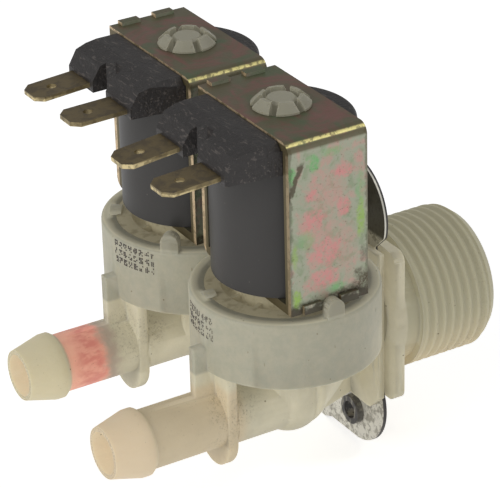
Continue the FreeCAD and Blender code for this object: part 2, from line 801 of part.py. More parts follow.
def guide_tube(side, y):
    """Ribbed rim, hub, tube and the slotted crown that snaps over the yoke."""
    r = guide_od / 2
    lip_z = yoke_top_z + fit_play
    lip_r = r + crown_lip_w
    crown_top_z = lip_z + crown_h
    crown_r = lip_r - crown_taper
    inner_r = crown_r - crown_wall
    post_r = inner_r - crown_gap
    post_top_z = crown_top_z - crown_post_drop
    roof_top_z = guide_roof_z + guide_roof_t
    tube = revolve_z([(lower_cavity_d / 2, guide_base_z), (guide_rim_d / 2, guide_base_z),
                      (guide_rim_d / 2, guide_rim_z), (groove_od / 2, guide_rim_z), (groove_od / 2, groove_z),
                      (hub_d / 2, groove_z), (hub_d / 2, hub_top_z - hub_chamfer),
                      (hub_d / 2 - hub_chamfer, hub_top_z), (r, hub_top_z), (r, lip_z), (lip_r, lip_z),
                      (lip_r, lip_z + crown_lip_t), (crown_r, crown_top_z), (inner_r, crown_top_z),
                      (inner_r, roof_top_z), (post_r, roof_top_z), (post_r, post_top_z - crown_post_chamfer),
                      (post_r - crown_post_chamfer, post_top_z), (0, post_top_z),
                      (0, guide_roof_z), (guide_bore_d / 2, guide_roof_z), (guide_bore_d / 2, hub_roof_z),
                      (hub_cavity_d / 2, hub_roof_z), (hub_cavity_d / 2, lower_roof_z),
                      (lower_cavity_d / 2, lower_roof_z)], well_x, y)
    ribs = []
    for k in range(guide_ribs):
        rib = box(hub_d / 2 - hub_wall / 2, groove_od / 2 + guide_rim_w / 2, -guide_rib_t / 2, guide_rib_t / 2,
                  groove_z - guide_floor_t / 2, guide_rim_z - guide_rib_drop)
        rib.rotate(V(0, 0, 0), V(0, 0, 1), 360.0 * k / guide_ribs)
        rib.translate(V(well_x, y, 0))
        ribs.append(rib)
    tube = tube.fuse(ribs)
    slots = []
    for k in range(crown_slots):
        slot = box(inner_r - crown_gap / 2, lip_r + crown_wall, -crown_slot_w / 2, crown_slot_w / 2,
                   crown_top_z - crown_slot_depth, crown_top_z)
        slot.rotate(V(0, 0, 0), V(0, 0, 1), 360.0 * k / crown_slots + crown_slot_angle[side])
        slot.translate(V(well_x, y, 0))
        slots.append(slot)
    return tube.cut(slots)


def plunger(y):
    """Steel plunger with a seal pocket below, a spring pocket above and two side grooves."""
    r = guide_bore_d / 2 - plunger_play
    body = cyl_z(2 * r, plunger_bottom_z, plunger_top_z, well_x, y)
    cuts = [cyl_z(tip_d, plunger_bottom_z, plunger_bottom_z + tip_depth, well_x, y),
            cyl_z(plunger_well_d, plunger_top_z - plunger_well_depth, plunger_top_z, well_x, y)]
    for sign in (-1, 1):
        inner = r - plunger_groove_depth
        xs = sorted((well_x + sign * inner, well_x + sign * guide_bore_d))
        cuts.append(box(xs[0], xs[1], y - plunger_groove_w / 2, y + plunger_groove_w / 2,
                        plunger_bottom_z, plunger_top_z))
    return body.cut(cuts)


def plunger_tip(y):
    """Rubber pilot seal, tapered towards the nozzle."""
    r = tip_d / 2
    z0 = plunger_bottom_z - tip_proud
    return revolve_z([(0, z0), (r - tip_taper, z0), (r, plunger_bottom_z), (r, plunger_bottom_z + tip_depth),
                      (0, plunger_bottom_z + tip_depth)], well_x, y)


def plunger_spring(y):
    """Round-wire helical spring between the plunger's pocket and the guide tube's roof."""
    z0 = plunger_top_z - plunger_well_depth + spring_play + spring_wire_d / 2
    z1 = guide_roof_z - spring_play - spring_wire_d / 2
    height = z1 - z0
    r = spring_d / 2
    helix = Part.makeLongHelix(height / spring_turns, height, r)
    start = V(r, 0, 0)
    pitch_angle = math.atan2(height / spring_turns, 2 * math.pi * r)
    tangent = V(0, math.cos(pitch_angle), math.sin(pitch_angle))
    ring = Part.Wire(Part.Circle(start, tangent, spring_wire_d / 2).toShape())
    coil = Part.Wire(helix.Edges).makePipeShell([ring], True, True)
    coil.translate(V(well_x, y, z0))
    return coil


def diaphragm(y):
    """Rubber membrane: clamped rim, thin web and the pad that closes the seat."""
    r_rim = guide_rim_d / 2
    web_z = ledge_z + diaphragm_web_rise
    pad_z = seat_lip_z + diaphragm_play
    hole = insert_hub_d / 2 + insert_hub_play
    pad = diaphragm_pad_d / 2
    rim_in = chamber_d / 2
    disc = revolve_z([(hole, pad_z), (pad, pad_z), (pad, web_z), (rim_in, web_z), (rim_in, ledge_z),
                      (r_rim, ledge_z), (r_rim, rim_bottom_z), (rim_in, rim_bottom_z),
                      (rim_in, web_z + diaphragm_web_t), (pad, web_z + diaphragm_web_t),
                      (pad, rim_bottom_z), (hole, rim_bottom_z)], well_x, y)
    return disc.cut(cyl_z(bleed_d, seat_lip_z, rim_bottom_z, well_x + bleed_offset, y))


def diaphragm_insert(y):
    """Plastic carrier: hub in the seat bore, disc on the pad and the pilot nozzle."""
    hub = insert_hub_d / 2
    top = insert_disc_z + insert_disc_t
    nozzle = insert_nozzle_d / 2
    body = revolve_z([(pilot_d / 2, seat_lip_z - insert_hub_below), (hub, seat_lip_z - insert_hub_below),
                      (hub, insert_disc_z), (insert_disc_d / 2, insert_disc_z), (insert_disc_d / 2, top),
                      (nozzle + insert_nozzle_foot, top), (nozzle, nozzle_top_z),
                      (pilot_d / 2, nozzle_top_z)], well_x, y)
    return body.cut(cyl_z(bleed_d, insert_disc_z, top, well_x + bleed_offset, y))


# Small parts in the water ways

def regulator_body(y):
    """Flow cartridge: a sleeve with a cross bar at its outer end."""
    r = outlet_bore_d / 2 - regulator_play
    x0 = regulator_front_x
    x1 = x0 + regulator_len
    shell = revolve_x([(x0, r - regulator_wall), (x0, r), (x1, r), (x1, r - regulator_wall)], y, outlet_z)
    half = r - regulator_bar_inset
    bar = box(x0, x0 + regulator_bar_t, y - half, y + half,
              outlet_z - regulator_bar_w / 2, outlet_z + regulator_bar_w / 2)
    post = box(x0, x0 + regulator_bar_t, y - regulator_bar_w / 2, y + regulator_bar_w / 2,
               outlet_z - half, outlet_z + half)
    return shell.fuse([bar, post])


def regulator_ring(y):
    """Rubber ring that rests on the cartridge's cross bar."""
    r = outlet_bore_d / 2 - regulator_play - regulator_wall - regulator_play
    x0 = regulator_front_x + regulator_bar_t + regulator_play
    return revolve_x([(x0, regulator_ring_bore_d / 2), (x0, r), (x0 + regulator_ring_t, r),
                      (x0 + regulator_ring_t, regulator_ring_bore_d / 2)], y, outlet_z)


def strainer():
    """Slotted cup in the inlet, its rim on the step of the mouth."""
    rim_x = thread_end_x - mouth_depth
    x0 = rim_x + strainer_rim_t - strainer_len
    r = strainer_d / 2
    cup = revolve_x([(x0, 0), (x0, r), (rim_x, r), (rim_x, mouth_d / 2 - strainer_play),
                     (rim_x + strainer_rim_t, mouth_d / 2 - strainer_play),
                     (rim_x + strainer_rim_t, r - strainer_wall), (x0 + strainer_floor_t, r - strainer_wall),
                     (x0 + strainer_floor_t, 0)])
    cuts = []
    for k in range(strainer_windows):
        window = box(x0 + strainer_floor_t + strainer_window_margin, rim_x - strainer_window_margin,
                     -strainer_window_w / 2, strainer_window_w / 2, r - 2 * strainer_wall, r + strainer_wall)
        window.rotate(V(0, 0, 0), V(1, 0, 0), 360.0 * k / strainer_windows)
        cuts.append(window)
    return cup.cut(cuts)


save("valve_body", valve_body())
save("mounting_bracket", bracket())
save("inlet_strainer", strainer())
for side, y in SIDES.items():
    save(side + "_yoke_upper", yoke_upper(y))
    save(side + "_yoke_lower", yoke_lower(y))
    save(side + "_coil_moulding", coil_moulding(side, y))
    save(side + "_bobbin", former(y))
    save(side + "_winding", winding(y))
    for place, solid in blade_set(side, y).items():
        save(side + "_terminal_" + place, solid)
    save(side + "_sleeve_lower", sleeve(y, yoke_bottom_z, yoke_bottom_z + sleeve_lower_len))
    save(side + "_sleeve_upper", sleeve(y, yoke_roof_z - fit_play - sleeve_upper_len, yoke_roof_z - fit_play))
    save(side + "_guide_tube", guide_tube(side, y))
    save(side + "_plunger", plunger(y))
    save(side + "_plunger_tip", plunger_tip(y))
    save(side + "_plunger_spring", plunger_spring(y))
    save(side + "_diaphragm", diaphragm(y))
    save(side + "_diaphragm_insert", diaphragm_insert(y))
    save(side + "_regulator_body", regulator_body(y))
    save(side + "_regulator_ring", regulator_ring(y))
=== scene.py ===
"""Looks of an ice maker's double solenoid valve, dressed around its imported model."""
import logging
import math
from dataclasses import dataclass
from enum import Enum
from typing import Any, Iterable, Optional, Sequence, Union

import bmesh
import bpy
from mathutils import Matrix, Vector


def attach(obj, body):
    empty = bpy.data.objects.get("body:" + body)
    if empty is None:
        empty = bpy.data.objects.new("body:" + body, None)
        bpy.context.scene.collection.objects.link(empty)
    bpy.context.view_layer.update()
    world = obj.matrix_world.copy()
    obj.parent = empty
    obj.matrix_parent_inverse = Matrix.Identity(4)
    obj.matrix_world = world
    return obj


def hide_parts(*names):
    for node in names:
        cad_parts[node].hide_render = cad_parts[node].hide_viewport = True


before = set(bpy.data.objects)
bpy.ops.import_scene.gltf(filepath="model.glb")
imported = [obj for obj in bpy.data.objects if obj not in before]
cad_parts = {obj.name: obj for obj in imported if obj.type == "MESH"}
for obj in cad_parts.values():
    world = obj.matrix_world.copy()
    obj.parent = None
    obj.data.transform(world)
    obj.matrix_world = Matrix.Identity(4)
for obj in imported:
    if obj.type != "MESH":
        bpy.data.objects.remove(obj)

LOG = logging.getLogger("valve")
MM = 0.001
Socket = bpy.types.NodeSocket
Material = bpy.types.Material
Piece = bpy.types.Object
Triple = tuple[float, float, float]
Colour = tuple[float, float, float, float]
# Where a soft step starts and where it ends.
Rise = tuple[float, float]
# How far from its middle a patch fades out and is full, squared, with its half sizes as 1.
PATCH_EDGE: Rise = (1.6, 0.1)
# The front leg's place along Y and the half depth of the patches on it, in millimetres.
LEG_Y = -29.0
LEG_HALF = 9.0
# The share, in percent, by which large faces set the normals.
LARGE_FACES = 100


def paint(red: int, green: int, blue: int) -> Colour:
    """A colour as a paint shop reads it, 0 to 255, turned into the scene's linear values.

    Args:
        red: share of red.
        green: share of green.
        blue: share of blue.

    Returns:
        Linear red, green, blue and an alpha of 1.
    """
    def linear(level: int) -> float:
        """One share, from display to linear."""
        share = level / 255
        return share / 12.92 if share <= 0.04045 else ((share + 0.055) / 1.055) ** 2.4
    return linear(red), linear(green), linear(blue), 1.0


@dataclass(frozen=True)
class Patch:
    """A soft oval patch on a surface, its middle and half sizes in millimetres."""

    middle: Triple
    half: Triple
    weight: float = 1.0


@dataclass(frozen=True)
class Cloud:
    """A cloudy pattern: size in millimetres, finer layers, swirl, density by axis, place and mask."""

    size: float
    layers: float = 2.0
    roughness: float = 0.5
    swirl: float = 0.0
    stretch: Triple = (1.0, 1.0, 1.0)
    shift: float = 0.0
    mask: Rise = (0.0, 1.0)
    weight: float = 1.0


@dataclass(frozen=True)
class Coat:
    """A colour laid over what lies below it, with its weight."""

    colour: Colour
    weight: float = 1.0


class Term:
    """A value socket that can be used like a number in an expression."""

    def __init__(self, tree: "Tree", socket: Socket) -> None:
        """Keeps the tree that the socket belongs to."""
        self.tree = tree
        self.socket = socket

    def __add__(self, other: "Number") -> "Term":
        """Sum."""
        return self.tree.math("ADD", self, other)

    __radd__ = __add__

    def __sub__(self, other: "Number") -> "Term":
        """Difference."""
        return self.tree.math("SUBTRACT", self, other)

    def __rsub__(self, other: "Number") -> "Term":
        """Difference, the other way round."""
        return self.tree.math("SUBTRACT", other, self)

    def __mul__(self, other: "Number") -> "Term":
        """Product."""
        return self.tree.math("MULTIPLY", self, other)

    __rmul__ = __mul__

    def __truediv__(self, other: "Number") -> "Term":
        """Quotient."""
        return self.tree.math("DIVIDE", self, other)

    def __rtruediv__(self, other: "Number") -> "Term":
        """Quotient, the other way round."""
        return self.tree.math("DIVIDE", other, self)

    def __neg__(self) -> "Term":
        """The value with its sign turned."""
        return self.tree.math("MULTIPLY", self, -1.0)

    def __abs__(self) -> "Term":
        """The value without its sign."""
        return self.tree.math("ABSOLUTE", self)

    def least(self, other: "Number") -> "Term":
        """The smaller of two values."""
        return self.tree.math("MINIMUM", self, other)

    def most(self, other: "Number") -> "Term":
        """The larger of two values."""
        return self.tree.math("MAXIMUM", self, other)

    def share(self) -> "Term":
        """The value kept between 0 and 1."""
        return self.tree.math("ADD", self, 0.0, clamp=True)

    def rise(self, start: float, end: float, top: float = 1.0) -> "Term":
        """A smooth step from 0 at start to top at end, which may lie lower than start."""
        node = self.tree.node("ShaderNodeMapRange", {"interpolation_type": "SMOOTHSTEP"},
                              {0: self, 1: start, 2: end, 3: 0.0, 4: top})
        return Term(self.tree, node.outputs[0])

    def fall(self, start: float, end: float) -> "Term":
        """A smooth step from 1 at start to 0 at end."""
        return self.rise(end, start)

    def between(self, low: float, high: float, edge: float) -> "Term":
        """1 between two values and 0 outside them, with soft edges."""
        return self.rise(low - edge, low + edge) * self.fall(high - edge, high + edge)


Number = Union[float, Term]
Linkable = Union[float, Sequence[float], Term, Socket]


class Tree:
    """Adds nodes to a node tree: settings first, then values and links of the sockets."""

    def __init__(self, tree: bpy.types.NodeTree) -> None:
        """Starts with an empty tree."""
        self.tree = tree
        tree.nodes.clear()

    def node(self, kind: str, settings: Optional[dict[str, Any]] = None,
             inputs: Optional[dict[Union[str, int], Linkable]] = None) -> bpy.types.Node:
        """Adds one node.

        Args:
            kind: the node's type.
            settings: its settings.
            inputs: a value or a link for each socket, by name or number.

        Returns:
            The new node.
        """
        made = self.tree.nodes.new(kind)
        for key, value in (settings or {}).items():
            setattr(made, key, value)
        for key, value in (inputs or {}).items():
            source = value.socket if isinstance(value, Term) else value
            if isinstance(source, Socket):
                self.tree.links.new(source, made.inputs[key])
            else:
                made.inputs[key].default_value = source
        return made

    def math(self, operation: str, *values: Number, clamp: bool = False) -> Term:
        """One Math node as a value."""
        settings = {"operation": operation, "use_clamp": clamp}
        return Term(self, self.node("ShaderNodeMath", settings, dict(enumerate(values))).outputs[0])

    def parts_of(self, vector: Socket) -> tuple[Term, Term, Term]:
        """The three values of a vector."""
        x, y, z = self.node("ShaderNodeSeparateXYZ", None, {0: vector}).outputs
        return Term(self, x), Term(self, y), Term(self, z)


class Shader(Tree):
    """A material's nodes, in the object's own coordinates."""

    def __init__(self, name: str) -> None:
        """Makes the material and its coordinates, in millimetres.

        Args:
            name: the material's name.
        """
        self.material = bpy.data.materials.new(name)
        self.material.use_nodes = True
        super().__init__(self.material.node_tree)
        self.place = self.node("ShaderNodeTexCoord").outputs["Object"]
        self.x, self.y, self.z = (value * (1 / MM) for value in self.parts_of(self.place))
        facing = self.parts_of(self.node("ShaderNodeNewGeometry").outputs["Normal"])
        self.facing_x, self.facing_y, self.facing_z = facing

    def noise(self, cloud: Cloud) -> Term:
        """Cloudy noise.

        Args:
            cloud: its size and form.

        Returns:
            A value around 0.5.
        """
        mapped = self.moved(cloud.shift, cloud.stretch)
        made = self.node("ShaderNodeTexNoise", None,
                         {"Vector": mapped, "Scale": 1.0 / (cloud.size * MM), "Detail": cloud.layers,
                          "Roughness": cloud.roughness, "Distortion": cloud.swirl})
        return Term(self, made.outputs[0])

    def cloudy(self, cloud: Cloud) -> Term:
        """The weighted mask of a cloudy noise."""
        return self.noise(cloud).rise(*cloud.mask, cloud.weight)

    def moved(self, shift: float, stretch: Sequence[float] = (1.0, 1.0, 1.0)) -> Socket:
        """The object's coordinates, moved and stretched, so that two patterns differ."""
        return self.node("ShaderNodeMapping", None, {"Vector": self.place, "Location": (shift,) * 3,
                                                     "Scale": tuple(stretch)}).outputs[0]

    def specks(self, size: float, share: float) -> Term:
        """Small round specks, 1 inside a speck.

        Args:
            size: distance between specks in millimetres.
            share: radius of a speck against that distance.

        Returns:
            The mask.
        """
        made = self.node("ShaderNodeTexVoronoi", None,
                         {"Vector": self.moved(0.0), "Scale": 1.0 / (size * MM)})
        return Term(self, made.outputs["Distance"]).fall(share * 0.6, share)

    def patch(self, patch: Patch, ragged: Term, fray: float) -> Term:
        """The mask of one soft patch, largest at its middle.

        Args:
            patch: its place, size and weight.
            ragged: a noise that frays its edge.
            fray: how far the noise moves the edge.

        Returns:
            The mask.
        """
        total = (ragged - 0.5) * fray
        for value, middle, half in zip((self.x, self.y, self.z), patch.middle, patch.half):
            along = (value - middle) / half
            total = total + along * along
        return total.rise(*PATCH_EDGE, patch.weight)

    def patches(self, patches: Sequence[Patch], ragged: Term, fray: float) -> Term:
        """The mask of several soft patches together.

        Args:
            patches: the patches.
            ragged: a noise that frays their edges.
            fray: how far the noise moves the edges.

        Returns:
            The largest mask at each place.
        """
        total = self.patch(patches[0], ragged, fray)
        for patch in patches[1:]:
            total = total.most(self.patch(patch, ragged, fray))
        return total

    def blend(self, factor: Number, first: Linkable, second: Linkable) -> Socket:
        """Mixes two colours."""
        return self.node("ShaderNodeMix", {"data_type": "RGBA"}, {0: factor, 6: first, 7: second}).outputs[2]

    def coat(self, below: Linkable, mask: Term, coat: Coat) -> Socket:
        """Lays a coat over what lies below it, where its mask is."""
        return self.blend(mask * coat.weight, below, coat.colour)

    def bump(self, height: Term, depth: float) -> Socket:
        """A bumpy normal; depth is in millimetres."""
        return self.node("ShaderNodeBump", None,
                         {"Height": height, "Distance": depth * MM, "Strength": 1.0}).outputs[0]

    def surface(self, inputs: dict[str, Linkable]) -> Material:
        """Ends the tree in a principled surface.

        Args:
            inputs: values and links of the shader's sockets.

        Returns:
            The finished material.
        """
        shader = self.node("ShaderNodeBsdfPrincipled", None, inputs)
        self.node("ShaderNodeOutputMaterial", None, {"Surface": shader.outputs[0]})
        return self.material


class Forming(Tree):
    """A geometry node tree with named sizes, which makes one plain mesh."""

    def __init__(self, name: str, sizes: dict[str, Union[int, float]]) -> None:
        """Makes the group, its inputs and its output.

        Args:
            name: the group's name.
            sizes: a value for each named input.
        """
        self.group = bpy.data.node_groups.new(name, "GeometryNodeTree")
        super().__init__(self.group)
        self.sockets: dict[str, str] = {}
        self.sizes = sizes
        for key, value in sizes.items():
            self.add_input(key, "NodeSocketInt" if isinstance(value, int) else "NodeSocketFloat")
        self.add_input("Finish", "NodeSocketMaterial")
        self.group.interface.new_socket("Geometry", in_out="OUTPUT", socket_type="NodeSocketGeometry")
        self.given = self.node("NodeGroupInput")

    def add_input(self, key: str, kind: str) -> None:
        """Adds a named input and keeps its identifier."""
        made = self.group.interface.new_socket(key, in_out="INPUT", socket_type=kind)
        self.sockets[key] = made.identifier

    def size(self, key: str) -> Term:
        """One named input as a value."""
        return Term(self, self.given.outputs[key])

    def grid(self, first: str, second: str) -> tuple[Socket, Term, Term]:
        """A grid of points, one metre wide.

        Args:
            first: the input with the number of points along X.
            second: the input with the number of points along Y.

        Returns:
            The grid and each point's X and Y.
        """
        made = self.node("GeometryNodeMeshGrid", None,
                         {"Size X": 1.0, "Size Y": 1.0,
                          "Vertices X": self.size(first), "Vertices Y": self.size(second)})
        u, v, _ = self.parts_of(self.node("GeometryNodeInputPosition").outputs[0])
        return made.outputs[0], u, v

    def place(self, geometry: Socket, x: Term, y: Term, z: Term) -> Socket:
        """Moves the points of a geometry to X, Y and Z."""
        spot = self.node("ShaderNodeCombineXYZ", None, {0: x, 1: y, 2: z}).outputs[0]
        return self.node("GeometryNodeSetPosition", None, {"Geometry": geometry, "Position": spot}).outputs[0]

    def close(self, geometry: Socket) -> None:
        """Ends the tree in plain faces with their material.

        Args:
            geometry: what the tree has made.
        """
        real = self.node("GeometryNodeRealizeInstances", None, {0: geometry})
        dressed = self.node("GeometryNodeSetMaterial", None,
                            {"Geometry": real.outputs[0], "Material": self.given.outputs["Finish"]})
        self.node("NodeGroupOutput", None, {0: dressed.outputs[0]})

    def piece(self, name: str, finish: Material) -> Piece:
        """Runs the tree once.

        Args:
            name: the piece's name.
            finish: its material.

        Returns:
            An object with a plain mesh.
        """
        carrier = bpy.data.objects.new(name, bpy.data.meshes.new(name))
        bpy.context.scene.collection.objects.link(carrier)
        modifier = carrier.modifiers.new("forming", "NODES")
        modifier.node_group = self.group
        for key, value in self.sizes.items():
            modifier[self.sockets[key]] = value
        modifier[self.sockets["Finish"]] = finish
        seen = carrier.evaluated_get(bpy.context.evaluated_depsgraph_get())
        mesh = bpy.data.meshes.new_from_object(seen)
        carrier.modifiers.clear()
        carrier.data = mesh
        mesh.name = name
        return carrier


@dataclass(frozen=True)
class NaturalPlastic:
    """Natural, slightly see-through plastic of the valve's moulding, with some grime, painted shade and
    painted light.
    """

    name: str
    plain: Colour = paint(181, 175, 152)
    cream: Colour = paint(197, 190, 166)
    cool: Colour = paint(146, 145, 129)
    pale: Colour = paint(156, 152, 134)
    barrel: Colour = paint(170, 165, 140)
    barrel_low: Colour = paint(192, 179, 149)
    peach: Colour = paint(208, 190, 161)
    greenish: Colour = paint(202, 192, 160)
    hollow: Colour = paint(206, 192, 168)
    lit: Colour = paint(204, 194, 168)
    black: Colour = paint(0, 0, 0)
    red: Colour = paint(206, 126, 114)
    dirt_and_shade: Colour = paint(100, 88, 66)
    shade: Coat = Coat(paint(144, 137, 114), 0.45)
    rim: Coat = Coat(paint(184, 179, 156), 0.8)
    tab: Coat = Coat(paint(130, 126, 110), 0.65)
    beige: Coat = Coat(paint(190, 170, 138), 0.6)
    pink: Coat = Coat(paint(240, 180, 156), 0.9)
    violet: Coat = Coat(paint(156, 136, 124), 0.7)
    fine: Cloud = Cloud(0.45, 3.0)
    broad: Cloud = Cloud(7.0, 3.0)
    soft: Cloud = Cloud(1.8, 4.0, 0.7, shift=9.0, mask=(0.3, 0.7))
    fray: Cloud = Cloud(2.5, 3.0, shift=6.0)
    speckle: Cloud = Cloud(1.1, 4.0, 0.75, shift=1.0, mask=(0.44, 0.66), weight=0.2)
    grains: Cloud = Cloud(0.38, 3.0, 0.7, shift=13.0, mask=(0.54, 0.64), weight=0.5)
    film: Cloud = Cloud(1.6, 4.0, 0.7, shift=2.0, mask=(0.6, 0.8), weight=0.12)
    gritty: Cloud = Cloud(4.0, shift=7.0, mask=(0.5, 0.6), weight=0.3)
    dotted: Cloud = Cloud(9.0, 1.0, shift=5.0, mask=(0.42, 0.5), weight=0.8)
    scuffs: Cloud = Cloud(0.9, 1.0, stretch=(1.0, 1.0, 0.4), shift=8.0, mask=(0.75, 0.77), weight=0.45)
    uneven: Cloud = Cloud(2.6, 3.0, 0.6, 0.3, shift=3.0)
    streaks: Cloud = Cloud(1.3, 3.0, 0.6, 0.3, (0.45, 1.0, 1.0), 14.0, (0.34, 0.62))
    creamy: Rise = (0.2, 0.8)
    downward: Rise = (0.1, 0.8)
    upward: Rise = (0.7, 0.95)
    outward: Rise = (0.85, 0.97)
    cup_z: Rise = (6.0, 6.8)
    cup_x: Rise = (-7.5, -6.0)
    lighter_x: Rise = (-20.0, -11.0)
    lighter_z: Rise = (9.0, 14.0)
    tab_z: Rise = (18.75, 19.25)
    inlet_x: Rise = (2.4, 2.9)
    barrel_z: Rise = (-12.0, 2.0)
    rear_y: Rise = (-1.0, 1.0)
    spigot_x: Rise = (-37.0, -34.0)
    spigot_z: Rise = (3.0, 5.0)
    barb_x: Rise = (-53.5, -52.2)
    tip_x: float = -59.7
    bore_depth: Rise = (6.0, 9.0)
    bore_edge: Rise = (0.9, 1.05)
    bore_r: float = 3.75
    outlet_z: float = -3.2
    outlet_y: float = 15.15
    inner_z: Rise = (3.0, 4.0)
    inner_x: Rise = (-36.0, -35.5)
    pink_x: tuple[Rise, Rise] = ((-52.8, -51.8), (-46.0, -43.8))
    red_x: tuple[Rise, Rise] = ((-52.6, -48.4), (-46.8, -43.4))
    violet_x: tuple[Rise, Rise] = ((-46.4, -43.8), (-44.0, -41.4))
    speck: Rise = (0.75, 0.13)
    dot: Rise = (3.4, 0.06)
    # Speckled grime patches; the patch between the two cups is painted shade, and those in the creases at the
    # rib and spigot roots are partly painted shade.
    grime: tuple[Patch, ...] = (
        Patch((-37.5, -18.5, -1.0), (4.5, 3.0, 5.0)), Patch((-33.0, -20.5, 3.0), (2.5, 2.5, 4.0), 0.7),
        Patch((-37.5, 12.0, 0.5), (4.5, 3.5, 3.5)), Patch((-34.5, -13.0, -1.0), (2.0, 5.0, 2.5), 0.8),
        Patch((-40.5, -20.0, -6.0), (3.0, 2.0, 2.0), 0.6), Patch((-31.0, -24.0, 8.0), (2.0, 2.0, 2.5), 0.5),
        Patch((15.0, -8.0, -9.0), (6.0, 6.0, 4.0), 0.8), Patch((19.0, -10.0, 2.0), (3.0, 5.0, 10.0), 0.5),
        Patch((-38.5, 0.5, 16.5), (2.0, 3.0, 2.5), 0.5), Patch((-16.0, 1.0, 13.0), (5.0, 4.0, 7.0), 0.9),
        Patch((-36.0, -15.0, 1.5), (3.0, 4.0, 2.0), 0.9), Patch((-39.5, 14.0, 0.0), (3.6, 6.0, 5.0)),
        Patch((-38.5, -16.0, -1.0), (3.6, 6.0, 5.0)))

    def make(self) -> Material:
        """Builds the material."""
        s = Shader(self.name)
        fine, soft = s.noise(self.fine), s.noise(self.soft)
        clouds = 0.6 * s.noise(self.broad) + 0.4 * soft
        colour = s.blend(clouds.rise(*self.creamy), self.plain, self.cream)
        colour = s.coat(colour, (-s.facing_z).rise(*self.downward), self.shade)
        cups = s.z.rise(*self.cup_z) * s.x.fall(*self.cup_x)
        lighter = s.x.rise(*self.lighter_x) * s.z.fall(*self.lighter_z)
        wall = s.blend(soft.rise(*self.soft.mask), self.cool, self.pale)
        colour = s.blend(cups * (0.9 - 0.7 * lighter), colour, wall)
        # Painted light: the cups' upward faces are painted lighter, against the shade of the coils and yokes
        # above them.
        colour = s.coat(colour, cups * s.facing_z.rise(*self.upward), self.rim)
        colour = s.coat(colour, cups * s.z.rise(*self.tab_z), self.tab)
        # Painted light and shade: the inlet barrel is painted darker on top and lighter below, for the light
        # from below.
        barrel = s.blend(s.z.rise(*self.barrel_z), self.barrel_low, self.barrel)
        colour = s.blend(s.x.rise(*self.inlet_x), colour, barrel)
        rear = s.y.rise(*self.rear_y)
        spigot = (1 - rear) * s.x.fall(*self.spigot_x) * s.z.fall(*self.spigot_z)
        colour = s.coat(colour, spigot, self.beige)
        barb = s.blend(rear, self.peach, self.greenish)
        colour = s.blend(s.x.fall(*self.barb_x) * 0.85, colour, barb)
        # Painted light: the inside of the outlet ends is painted in a lighter colour.
        bore = self.bore_mask(s)
        colour = s.blend(bore, colour, self.hollow)
        colour = self.cartridge_glow(s, colour, rear)
        colour = s.blend(self.dirt_and_shade_masks(s, cups), colour, self.dirt_and_shade)
        # Painted light: the whole moulding glows faintly in its own colour and the outlet bores in a light
        # colour, standing in for light through the plastic.
        glow = s.blend(bore, s.blend(0.5, colour, self.black), self.lit)
        return s.surface({"Base Color": colour, "Roughness": 0.42 + 0.16 * fine,
                          "Specular IOR Level": 0.35, "Subsurface Weight": 0.5,
                          "Subsurface Radius": (1.0, 0.92, 0.7), "Subsurface Scale": 1.6 * MM,
                          "Emission Color": glow, "Emission Strength": 0.5, "Normal": s.bump(fine, 0.03)})

    def dirt_and_shade_masks(self, s: Shader, cups: Term) -> Term:
        """Where grime and painted shade lie: grime patches that are partly painted shade, film, grit, darker
        outward end faces of the outlets, dots and scuffs, one over the other.

        Args:
            s: the material's nodes.
            cups: 1 on the two cups.

        Returns:
            The mask.
        """
        grime = s.patches(self.grime, s.noise(self.fray), 2.0) * 0.8
        end = (-s.facing_x).rise(*self.outward) * s.x.fall(self.tip_x, self.tip_x + 1.0)
        bare = 1.0
        for mask in (grime * (s.cloudy(self.speckle) + s.cloudy(self.grains)), s.cloudy(self.film),
                     s.specks(*self.speck) * s.cloudy(self.gritty) * (1 - cups * 0.6), end * 0.35,
                     s.specks(*self.dot) * s.cloudy(self.dotted), s.cloudy(self.scuffs) * cups):
            bare = bare * (1 - mask)
        return 1 - bare

    def bore_mask(self, s: Shader) -> Term:
        """Inside of the outlet ends, painted lighter and glowing, as painted light that stands in for light
        through their thin walls.

        Args:
            s: the material's nodes.

        Returns:
            The mask.
        """
        off = (abs(s.y) - self.outlet_y) / self.bore_r
        up = (s.z - self.outlet_z) / self.bore_r
        deep = s.x - self.tip_x
        inside = (off * off + up * up).fall(*self.bore_edge)
        return inside * deep.fall(*self.bore_depth) * deep.rise(-1.0, 0.0)

    def cartridge_glow(self, s: Shader, colour: Linkable, rear: Term) -> Socket:
        """The red cartridge that shows through the rear outlet.

        Args:
            s: the material's nodes.
            colour: the plastic's colour.
            rear: 1 on the rear half.

        Returns:
            The colour with the cartridge in it.
        """
        along = s.x + (s.noise(self.uneven) - 0.5) * 3.5
        inner = rear * s.z.fall(*self.inner_z) * s.x.fall(*self.inner_x)
        pinks = s.x.rise(*self.pink_x[0]) * along.fall(*self.pink_x[1])
        reds = along.rise(*self.red_x[0]) * along.fall(*self.red_x[1])
        fade = along.rise(*self.violet_x[0]) * along.fall(*self.violet_x[1])
        colour = s.coat(colour, inner * pinks, self.pink)
        colour = s.blend(inner * reds * (0.4 + 0.5 * s.cloudy(self.streaks)), colour, self.red)
        return s.coat(colour, inner * fade, self.violet)


@dataclass(frozen=True)
class PlainPlastic:
    """One-coloured plastic or rubber of the smaller pieces."""

    name: str
    colour: Colour
    roughness: float = 0.45
    through: float = 0.0
    mottle: Cloud = Cloud(2.5, 3.0, mask=(0.45, 0.8), weight=0.15)
    fine: Cloud = Cloud(0.4)

    def make(self) -> Material:
        """Builds the material."""
        s = Shader(self.name)
        darker = tuple(share * 0.6 for share in self.colour[:3]) + (1.0,)
        colour = s.blend(s.cloudy(self.mottle), self.colour, darker)
        return s.surface({"Base Color": colour, "Roughness": self.roughness + 0.1 * s.noise(self.mottle),
                          "Subsurface Weight": self.through, "Subsurface Radius": (1.0, 0.95, 0.8),
                          "Subsurface Scale": 1.2 * MM, "Normal": s.bump(s.noise(self.fine), 0.02)})


